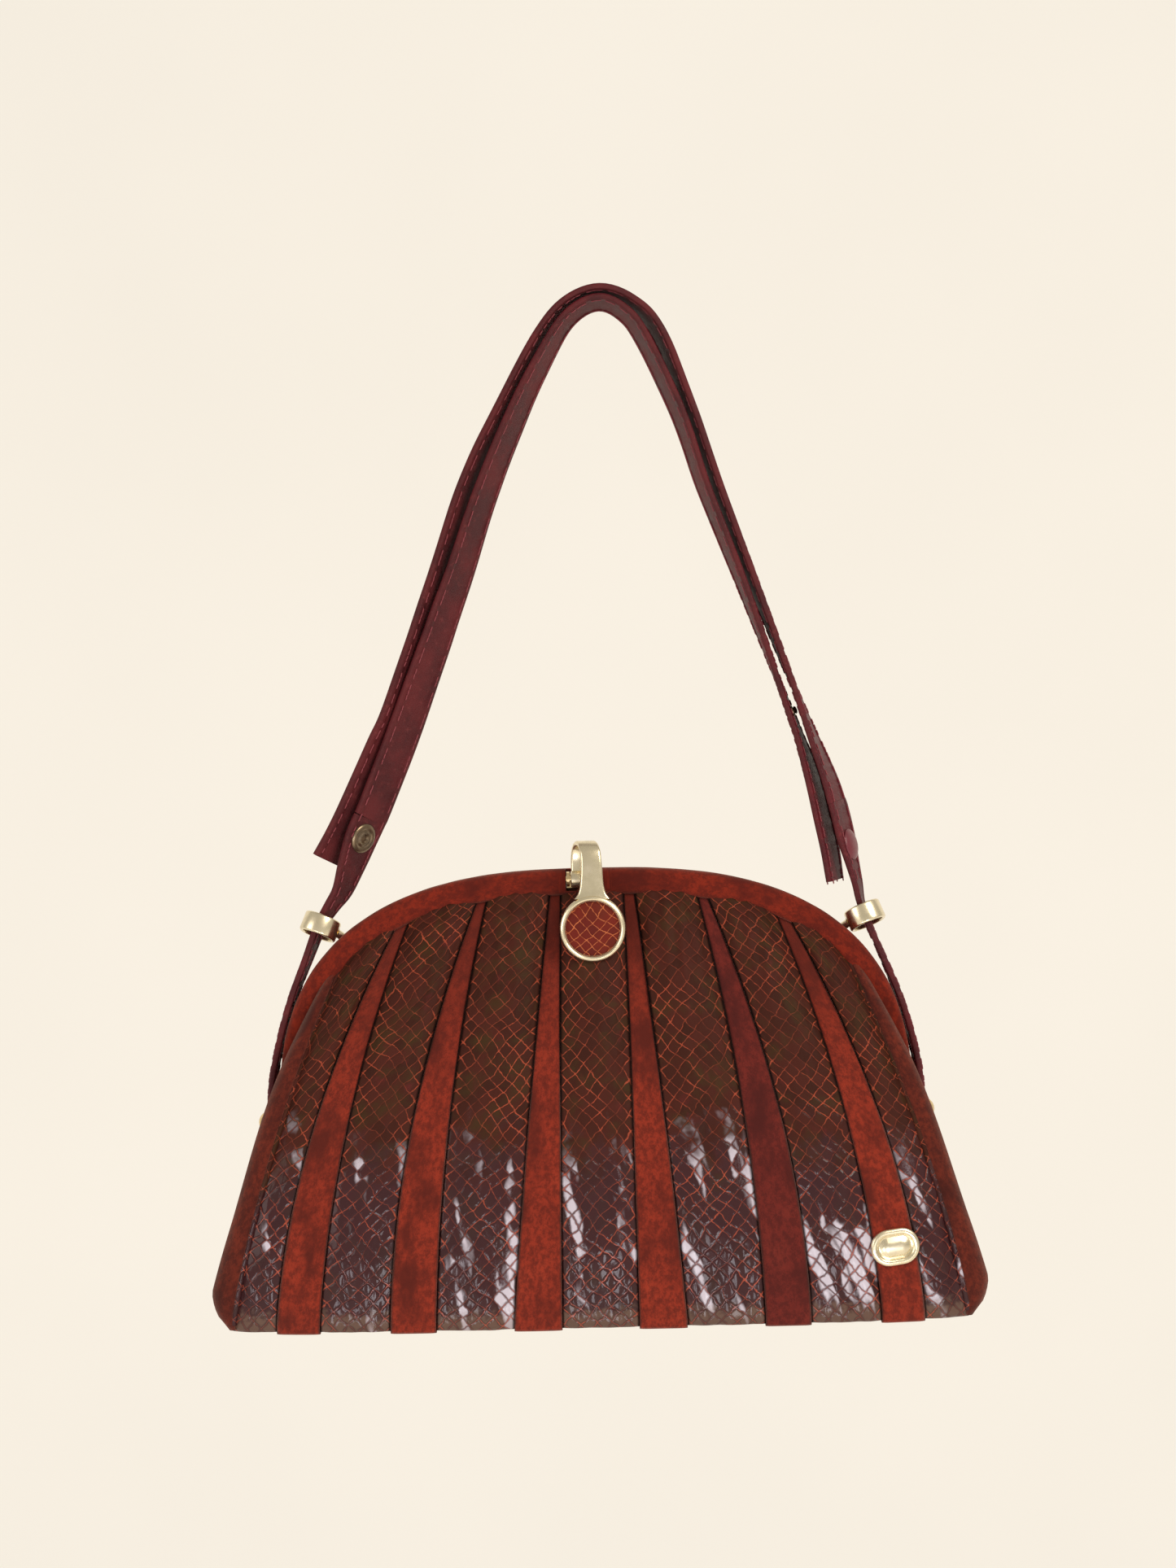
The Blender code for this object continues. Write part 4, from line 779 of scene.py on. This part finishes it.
def make_covers():
    """Suede cover over each half of the frame, notched in front for the clasp."""
    section = rounded_rectangle(BAND_WIDTH, BAND_DEPTH, 2.7, 6)
    for body, side in (("front_frame", -1), ("bag", 1)):
        rows = []
        line = arch_line(BAND_WIDTH / 2, ARCH_FOOT_Z, 121)
        for i, (x, z) in enumerate(line):
            ahead, behind = line[min(i + 1, len(line) - 1)], line[max(i - 1, 0)]
            along = Vector((ahead[0] - behind[0], 0, ahead[1] - behind[1])).normalized()
            outward = Vector((-along.z, 0, along.x))
            wave = 0.12 * noise.noise(Vector((x / 9, z / 9, side * 4.0)))
            rows.append([Vector((x, side * BAND_CENTRE_Y, z)) + outward * (u * (1 + wave / 5))
                         + Vector((0, v * (1 + wave / 4), 0)) for u, v in section])
        obj = Piece().grid(rows, closed=True, caps=True, number=side).build(
            "front_frame_suede" if side < 0 else "back_frame_suede", [FRAME_SUEDE])
        if side < 0:
            cut_box(obj, (-10.4, -20.0, 171.2), (2.0, -2.3, 195.0))
            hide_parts("front_frame_cover")
        else:
            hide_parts("back_frame_cover")
        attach(obj, body)
    for node in ("front_frame_core", "back_frame_core", "clasp_base", "clasp_pin"):
        paint(node, STEEL if "core" in node else GOLD)


def paint(node, material):
    """Give a piece kept from the CAD a new material."""
    mesh = frame["nodes"][node].data
    mesh.materials.clear()
    mesh.materials.append(material)


def cut_box(obj, low, high):
    """Cut a box-shaped notch out of a closed mesh."""
    bpy.ops.mesh.primitive_cube_add(size=1.0)
    cutter = bpy.context.object
    low, high = world(low), world(high)
    cutter.location = (low + high) / 2
    cutter.scale = high - low
    notch = obj.modifiers.new("Notch", "BOOLEAN")
    notch.operation = "DIFFERENCE"
    notch.object = cutter
    bpy.context.view_layer.update()
    cut = bpy.data.meshes.new_from_object(obj.evaluated_get(bpy.context.evaluated_depsgraph_get()))
    obj.modifiers.remove(notch)
    obj.data = cut
    bpy.data.objects.remove(cutter)


def make_hinges():
    """Rivets with a ball head outside and a flat head inside."""
    for side, label in ((-1, "left"), (1, "right")):
        place = facing((0, 0, HINGE_Z), (side, 0, 0))
        dome = [(4.3 * math.sin(a), 132.6 + 4.0 * math.cos(a)) for a in fractions(10, 0.0, math.pi / 2)]
        profile = dome + [(4.3, 132.3), (3.6, 132.0), (1.6, 132.0), (1.6, 124.1), (3.0, 124.0), (3.2, 123.4),
                          (2.6, 122.9), (0.0, 122.8)]
        obj = Piece().turned(profile, place).build(f"hinge_stud_{label}", [GOLD], "bag")
        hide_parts(f"hinge_pin_{label}")


RING_WIDTH, RING_LENGTH, RING_HEIGHT, RING_WALL, RING_BULGE = 15.0, 17.0, 8.0, 1.6, 0.25


def make_rings():
    """Rounded rectangular strap rings, each on a post from the back half of the frame."""
    for side, label in ((-1, "left"), (1, "right")):
        place = (Matrix.Translation((side * 110.3, STRAP_Y, 158.5))
                 @ Matrix.Rotation(math.radians(-side * 22.0), 4, "Y")
                 @ Matrix.Rotation(math.radians(-12.0), 4, "X"))
        rows = []
        path = rounded_rectangle(RING_WIDTH - RING_WALL, RING_LENGTH - RING_WALL, 6.4, 12)
        section = rounded_rectangle(RING_WALL, RING_HEIGHT, 0.75, 5)
        for i, (x, y) in enumerate(path + path[:1]):
            ahead, behind = path[(i + 1) % len(path)], path[(i - 1) % len(path)]
            along = Vector((ahead[0] - behind[0], ahead[1] - behind[1], 0)).normalized()
            outward = Vector((along.y, -along.x, 0))
            rows.append([])
            for u, v in section:
                bulge = RING_BULGE * (1 - (2 * v / RING_HEIGHT) ** 2)
                rows[-1].append(place @ (Vector((x, y, 0)) + outward * (u + bulge) + Vector((0, 0, v))))
        piece = Piece().grid(rows, closed=True)
        wall = place @ Vector((-side * 6.9, 0, 0))
        seat = wall + Vector((-side * 4.6, 2.0, -3.4))
        post = facing(wall, seat - wall)
        length = (seat - wall).length
        piece.turned([(0.0, length), (2.9, length), (3.1, length - 0.5), (2.4, length - 1.0),
                      (1.7, length - 1.6), (1.7, 0.5), (2.2, 0.0), (0.0, -0.2)], post, 24)
        obj = piece.build(f"ring_{label}", [PALE_GOLD], "bag")
        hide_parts(f"strap_ring_{label}")


# ---------------- clasp and ornament

# Middle line of the lever: x, y, z and width
ARM_LINE = (
    (-4.2, -9.3, 176.5, 8.2), (-4.2, -9.1, 181.0, 8.2), (-4.1, -9.3, 185.0, 8.2), (-3.6, -10.7, 188.5, 8.2),
    (-2.6, -13.6, 190.3, 8.2), (-1.4, -17.0, 189.8, 8.2), (-0.5, -19.6, 187.3, 8.3), (-0.1, -20.7, 183.3, 8.3),
    (0.0, -21.0, 178.0, 8.8), (0.0, -21.1, 173.0, 9.8), (0.0, -21.2, 170.0, 11.6), (0.0, -21.4, 168.2, 14.5),
)
DISC = Vector((0.0, -21.0, 156.5))


def make_clasp():
    """Lever with its knuckle and round bezel, and the reptile inlay in the bezel."""
    points = catmull_rom(ARM_LINE, 0.9)
    rows = []
    for i, (x, y, z, width) in enumerate(points):
        ahead, behind = points[min(i + 1, len(points) - 1)], points[max(i - 1, 0)]
        along = Vector((0, ahead[1] - behind[1], ahead[2] - behind[2])).normalized()
        normal = Vector((1, 0, 0)).cross(along)
        ring = []
        for u, v in rounded_rectangle(width, 2.0, 0.95, 5):
            crown = 0.45 * (1 - (2 * u / width) ** 2) * (1 if v < 0 else 0)
            ring.append(Vector((x + u, y, z)) - normal * (v - crown))
        rows.append(ring)
    piece = Piece().grid(rows, closed=True, caps=True)
    knuckle = Matrix.Translation((-4.2, -9.3, 176.0)) @ Matrix.Rotation(math.radians(90), 4, "Y")
    piece.turned([(0.0, 4.2), (3.0, 4.2), (3.5, 3.7), (3.5, -3.7), (3.0, -4.2), (0.0, -4.2)], knuckle, 32)
    disc = facing(DISC, (0, -1, 0))
    piece.turned([(11.0, 0.2), (11.0, 1.2), (11.3, 1.7), (11.9, 2.0), (12.6, 1.8), (13.1, 1.1), (13.2, 0.2),
                  (12.9, -0.9), (12.2, -1.5), (0.0, -1.5)], disc, 72)
    obj = piece.build("clasp_lever", [PALE_GOLD], "clasp")
    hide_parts("clasp_arm")
    dome = [(10.9 * share, 0.3 + 1.5 * (1 - share ** 2.2)) for share in fractions(14)]
    inlay = Piece().turned(dome + [(10.9, 0.0)], disc, 64)
    inlay.grain = [((p.x - DISC.x) + 0.3, (p.z - DISC.z) + 2.0, 5.0) for p in inlay.points]
    obj = inlay.build("clasp_disc_inlay", [INLAY], "clasp")
    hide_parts("clasp_inlay")


def make_ornament():
    """Plain oval ornament: a raised rim round a smooth domed centre."""
    low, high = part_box("emblem")
    middle = ((low + high) / 2 - ORIGIN) / MM
    place = (Matrix.Translation(middle + Vector((0, 0.5, 0))) @ Matrix.Rotation(math.radians(6.5), 4, "Z")
             @ Matrix.Rotation(math.radians(-7.0), 4, "Y") @ Matrix.Rotation(math.radians(90), 4, "X"))
    profile = ((0.6, -1.0), (0.0, -0.6), (0.0, 0.5), (0.4, 1.0), (1.1, 1.25), (1.9, 1.2), (2.5, 0.8),
               (2.8, 0.2), (3.3, 0.0), (3.8, 0.2), (4.6, 0.75), (5.8, 1.1), (6.8, 1.2))
    rings = []
    for inset, height in profile:
        outline = rounded_rectangle(19.5 - 2 * inset, 14.5 - 2 * inset, 7.2 - inset, 10)
        rings.append([place @ Vector((x, y, height)) for x, y in outline])
    obj = Piece().grid(rings, closed=True, caps=True).build("oval_ornament", [PALE_GOLD], "bag")
    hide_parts("emblem")


# ---------------- straps

def full_width(*points):
    """Middle line of the main length of a strap, from x, z and twist."""
    return tuple((x, STRAP_Y, z, twist, STRAP_WIDTH) for x, z, twist in points)


# Middle lines of the straps: x, y, z, twist in degrees (front edge outwards) and width
INNER_LEFT_END = (
    (-130.9, 0.0, 73.5, 0, 8.0), (-130.9, 0.0, 75.5, 0, 12.5), (-130.9, 0.0, 80.0, 0, 15.0),
    (-130.6, 0.5, 95.0, 0, 15.0), (-127.6, 1.3, 111.0, 0, 15.0), (-122.6, 2.0, 128.0, 3, 14.0),
    (-116.3, 2.0, 144.0, 8, 11.5), (-110.3, 2.0, 158.5, 18, 9.4), (-105.5, 2.0, 166.5, 28, 9.6),
    (-101.1, 2.0, 173.0, 35, 11.5), (-97.0, 2.0, 183.5, 38, 15.5), (-92.9, 2.0, 194.2, 40, 18.0),
    (-89.4, 2.0, 201.5, 41, 18.0),
)
INNER_MAIN = full_width(
    (-89.4, 201.5, 41), (-86.9, 206.9, 42), (-74.0, 238.6, 42), (-62.1, 270.3, 38), (-50.4, 302.1, 32),
    (-39.2, 333.9, 27), (-25.8, 365.6, 22), (-11.5, 393.0, 15), (-2.5, 404.5, 11), (7.7, 409.0, 9),
    (17.0, 405.0, 10), (25.0, 394.5, 12), (38.7, 364.1, 12), (49.2, 331.9, 10), (61.2, 299.6, 7),
    (72.7, 267.3, 0), (81.7, 241.5, -8), (85.1, 231.8, -11), (90.1, 215.7, -20), (96.0, 189.9, -24),
    (98.6, 173.0, -22),
)
OUTER_MAIN = full_width(
    (-106.6, 185.0, 40), (-100.2, 196.0, 41), (-92.2, 212.0, 42), (-83.2, 231.0, 42), (-77.6, 242.8, 42),
    (-67.2, 271.8, 38), (-56.6, 303.5, 32), (-45.9, 335.5, 27), (-30.6, 367.6, 22), (-15.4, 395.9, 15),
    (-4.8, 408.3, 11), (8.2, 413.1, 9), (21.0, 408.4, 10), (31.4, 396.3, 12), (43.8, 364.0, 12),
    (54.4, 331.7, 10), (65.9, 299.5, 7), (77.8, 267.2, 0), (87.3, 241.3, -8), (96.8, 215.5, -20),
    (99.9, 205.0, -23),
)
OUTER_RIGHT_END = (
    (99.9, 2.0, 205.0, -23, 18.0), (100.6, 2.0, 202.6, -24, 18.0), (103.6, 2.0, 189.8, -25, 16.5),
    (105.6, 2.0, 180.5, -23, 12.5), (107.4, 2.0, 172.0, -20, 9.6), (108.4, 2.0, 165.0, -14, 9.4),
    (110.3, 2.0, 158.5, -8, 9.4), (116.3, 2.0, 144.0, -3, 11.5), (122.6, 2.0, 128.0, 0, 14.0),
    (127.6, 1.3, 111.0, 0, 15.0), (130.6, 0.5, 95.0, 0, 15.0), (130.9, 0.0, 80.0, 0, 15.0),
    (130.9, 0.0, 75.5, 0, 12.5), (130.9, 0.0, 73.5, 0, 8.0),
)
# Half section of a strap: share of the half width, and height. The edges are bound.
STRAP_SECTION = ((-1.0, 0.35), (-0.985, 0.85), (-0.94, 1.15), (-0.80, 1.25), (-0.72, 1.2), (-0.69, 0.95),
                 (-0.6, 1.05), (-0.3, 1.12), (0.0, 1.15))
STITCH_STEP, STITCH_INSET, LEAST_STITCHED_WIDTH = 3.1, 2.3, 9.5


def strap_stations(line):
    """Centre, direction across, face normal, width and direction along, at even steps of a strap."""
    points = catmull_rom(line, 2.2)
    stations = []
    for i, (x, y, z, twist, width) in enumerate(points):
        ahead, behind = points[min(i + 1, len(points) - 1)], points[max(i - 1, 0)]
        along = Vector((ahead[0] - behind[0], 0, ahead[2] - behind[2])).normalized()
        outward = Vector((-along.z, 0, along.x))
        cosine, sine = math.cos(math.radians(twist)), math.sin(math.radians(twist))
        across = Vector((0, -cosine, 0)) + outward * sine
        normal = outward * cosine + Vector((0, sine, 0))
        stations.append((Vector((x, y, z)), across, normal, width, along))
    return stations


def make_strap(name, line, seed):
    """Two layers of leather with bound edges, stitched along both edges on both faces."""
    stations = strap_stations(line)
    upper = list(STRAP_SECTION) + [(-u, v) for u, v in STRAP_SECTION[-2::-1]]
    section = upper + [(u, -v) for u, v in reversed(upper)]
    layers = [1 if len(upper) - 1 <= i < len(section) - 1 else 0 for i in range(len(section))]
    rows = []
    for centre, across, normal, width, _ in stations:
        sway = 0.25 * noise.noise(Vector((centre.x / 20, centre.z / 20, seed)))
        rows.append([centre + across * (u * width / 2) + normal * (v + sway) for u, v in section])
    piece = Piece().grid(rows, closed=True, caps=True, slots=layers, number=seed)
    random.seed(seed)
    travel = 0.0
    for before, station in zip(stations, stations[1:]):
        travel += (station[0] - before[0]).length
        if travel < STITCH_STEP:
            continue
        travel -= STITCH_STEP
        centre, across, normal, width, along = station
        if width < LEAST_STITCHED_WIDTH:
            continue
        for edge in (-1, 1):
            for face in (-1, 1):
                middle = centre + across * (edge * (width / 2 - STITCH_INSET)) + normal * (face * 1.28)
                add_stitch(piece, middle, along, across, normal, random.uniform(-0.12, 0.12))
    return piece.build(name, [STRAP_OUT, STRAP_IN, THREAD], smooth=60)


def add_stitch(piece, middle, along, across, normal, slant):
    """One stitch of thread: a short spindle with six sides."""
    direction = (along + across * slant).normalized()
    rows = []
    for offset, radius in ((-1.15, 0.1), (-0.8, 0.28), (0.8, 0.28), (1.15, 0.1)):
        centre = middle + direction * offset
        rows.append([centre + across * (radius * math.cos(a)) + normal * (radius * math.sin(a))
                     for a in fractions(6, 0.0, 2 * math.pi * 5 / 6)])
    piece.grid(rows, closed=True, caps=True, slot=2)


def make_straps():
    """Two straps, each with a short end at its ring and a free tail."""
    left_end = make_strap("inner_strap_left_end", INNER_LEFT_END, 1)
    right_end = make_strap("outer_strap_right_end", OUTER_RIGHT_END, 2)
    inner = make_strap("inner_strap", INNER_MAIN, 3)
    outer = make_strap("outer_strap", OUTER_MAIN, 4)
    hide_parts("side_strap_left")
    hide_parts("side_strap_right")
    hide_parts("strap_inner", "strap_inner_tail")
    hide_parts("strap_outer", "strap_outer_tail")
    for obj in (left_end, right_end):
        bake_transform(obj)
    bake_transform(inner)
    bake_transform(outer)


def station_near(line, z, side):
    choices = [s for s in strap_stations(line) if s[0].x * side > 0]
    return min(choices, key=lambda s: abs(s[0].z - z))


def make_snap(name, node, station, face, body, style):
    """A snap fastener's eyelet, cap or stud on one face of a strap."""
    centre, _, normal, _, _ = station
    place = facing(centre + normal * face * (STRAP_THICKNESS / 2 - 0.15), normal * face)
    if style == "eyelet":
        profile = [(1.5, 0.1), (1.9, 0.75), (2.6, 0.95), (3.2, 0.6), (3.6, 0.5), (4.2, 0.85), (5.0, 0.95),
                   (5.9, 0.6), (6.3, 0.1), (6.3, -0.2)]
    elif style == "cap":
        profile = [(6.2 * s, 2.0 - 1.5 * s ** 2.6) for s in fractions(10)] + [(6.35, 0.2), (6.2, -0.2)]
    else:
        profile = [(0.0, 1.9), (1.2, 1.7), (1.7, 1.1), (1.2, 0.6), (2.2, 0.4), (2.3, -0.2)]
    material = CAP if style == "cap" else OLD_BRASS
    obj = Piece().turned(profile, place, 40).build(name, [material], body)
    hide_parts(node)


SNAPS = (
    # name, replaced node, strap line, height, side, face, body, style
    ("snap_eyelet_left", "left_snap_socket", INNER_LEFT_END, 193.6, -1, -1, "strap", "eyelet"),
    ("snap_eyelet_right", "right_snap_socket", INNER_MAIN, 186.5, 1, -1, "inner_tail", "eyelet"),
    ("snap_cap_left", "left_snap_cap", OUTER_MAIN, 193.6, -1, 1, "outer_tail", "cap"),
    ("snap_cap_right", "right_snap_cap", OUTER_RIGHT_END, 186.5, 1, 1, "strap", "cap"),
    ("snap_stud_spare", "spare_snap_stud", INNER_MAIN, 240.5, 1, 1, "strap", "stud"),
)


def make_snaps():
    for name, node, line, z, side, face, body, style in SNAPS:
        make_snap(name, node, station_near(line, z, side), face, body, style)


# ---------------- stage, light and camera

CAMERA_HEIGHT = 214.0
CAMERA_SIDE = -0.7
CAMERA_DISTANCE = 1200.0
CAMERA_ROLL = 1.2
CAMERA_LENS = 68.1
AIM = (0.0, 0.0, 100.0)
FLOOR_Z, WALL_Y, BEND = -0.75, 1.3, 0.6
HALF_FLOOR, WALL_TOP = 4.0, 3.0
LIGHTS = (
    # name, position from the bag in metres, width, height, watts, colour
    ("key", (0.9, -1.1, 0.95), 0.7, 0.7, 15.0, (1.0, 0.93, 0.82)),
    ("fill", (-1.3, -0.9, 0.35), 0.9, 0.9, 6.0, (1.0, 0.95, 0.9)),
    ("low_window_left", (-0.42, -1.25, -0.50), 0.16, 0.42, 2.2, (0.92, 0.93, 1.0)),
    ("low_window_right", (0.28, -1.25, -0.50), 0.22, 0.42, 3.2, (0.92, 0.93, 1.0)),
)


def make_stage():
    """A pale floor that sweeps up into a plain backdrop."""
    profile = [(-HALF_FLOOR, FLOOR_Z)]
    profile += [(WALL_Y - BEND + BEND * math.sin(a), FLOOR_Z + BEND - BEND * math.cos(a))
                for a in fractions(13, 0.0, math.pi / 2)]
    profile += [(WALL_Y, WALL_TOP)]
    mesh = bpy.data.meshes.new("sweep")
    points = [(x, y, z) for y, z in profile for x in (-HALF_FLOOR, HALF_FLOOR)]
    faces = [(2 * i, 2 * i + 1, 2 * i + 3, 2 * i + 2) for i in range(len(profile) - 1)]
    mesh.from_pydata([ORIGIN + Vector(p) for p in points], [], faces)
    mesh.shade_smooth()
    floor = bpy.data.objects.new("floor", mesh)
    bpy.context.scene.collection.objects.link(floor)
    paper = Finish("floor_paper", Roughness=0.95, Specular_IOR_Level=0.0, Emission_Strength=0.65,
                   Emission_Color=(0.93, 0.885, 0.80, 1))
    place = paper.node("ShaderNodeTexCoord").outputs["Object"]
    tone = paper.blend(paper.ramp(paper.noise(place, 3.0, 3.0), 0.3, 0.7), (0.36, 0.335, 0.30, 1),
                       (0.375, 0.35, 0.315, 1))
    floor.data.materials.append(paper.set(Base_Color=tone))

    scene_world = bpy.data.worlds.new("soft_room")
    scene_world.use_nodes = True
    background = scene_world.node_tree.nodes["Background"]
    background.inputs["Color"].default_value = (0.93, 0.875, 0.77, 1)
    background.inputs["Strength"].default_value = 0.52
    bpy.context.scene.world = scene_world
    bpy.context.scene.view_settings.view_transform = "Standard"

    target = world(AIM)
    for name, place, width, height, power, colour in LIGHTS:
        data = bpy.data.lights.new(name, "AREA")
        data.shape = "RECTANGLE"
        data.size, data.size_y = width, height
        data.energy = power
        data.color = colour
        light = bpy.data.objects.new(name, data)
        bpy.context.scene.collection.objects.link(light)
        light.location = target + Vector(place)
        light.rotation_euler = (target - light.location).to_track_quat("-Z", "Y").to_euler()


def make_camera():
    data = bpy.data.cameras.new("camera")
    data.sensor_width = 36.0
    data.lens = CAMERA_LENS
    camera = bpy.data.objects.new("camera", data)
    bpy.context.scene.collection.objects.link(camera)
    camera.location = world((CAMERA_SIDE, -CAMERA_DISTANCE, CAMERA_HEIGHT))
    turn = (Matrix.Rotation(math.radians(90), 4, "X")
            @ Matrix.Rotation(math.radians(-CAMERA_ROLL), 4, "Z"))
    camera.rotation_euler = turn.to_euler()
    bpy.context.scene.camera = camera


make_stage()
make_camera()
make_gores()
make_linings()
make_sides()
make_piping()
make_base()
make_covers()
make_hinges()
make_rings()
make_clasp()
make_ornament()
make_straps()
make_snaps()
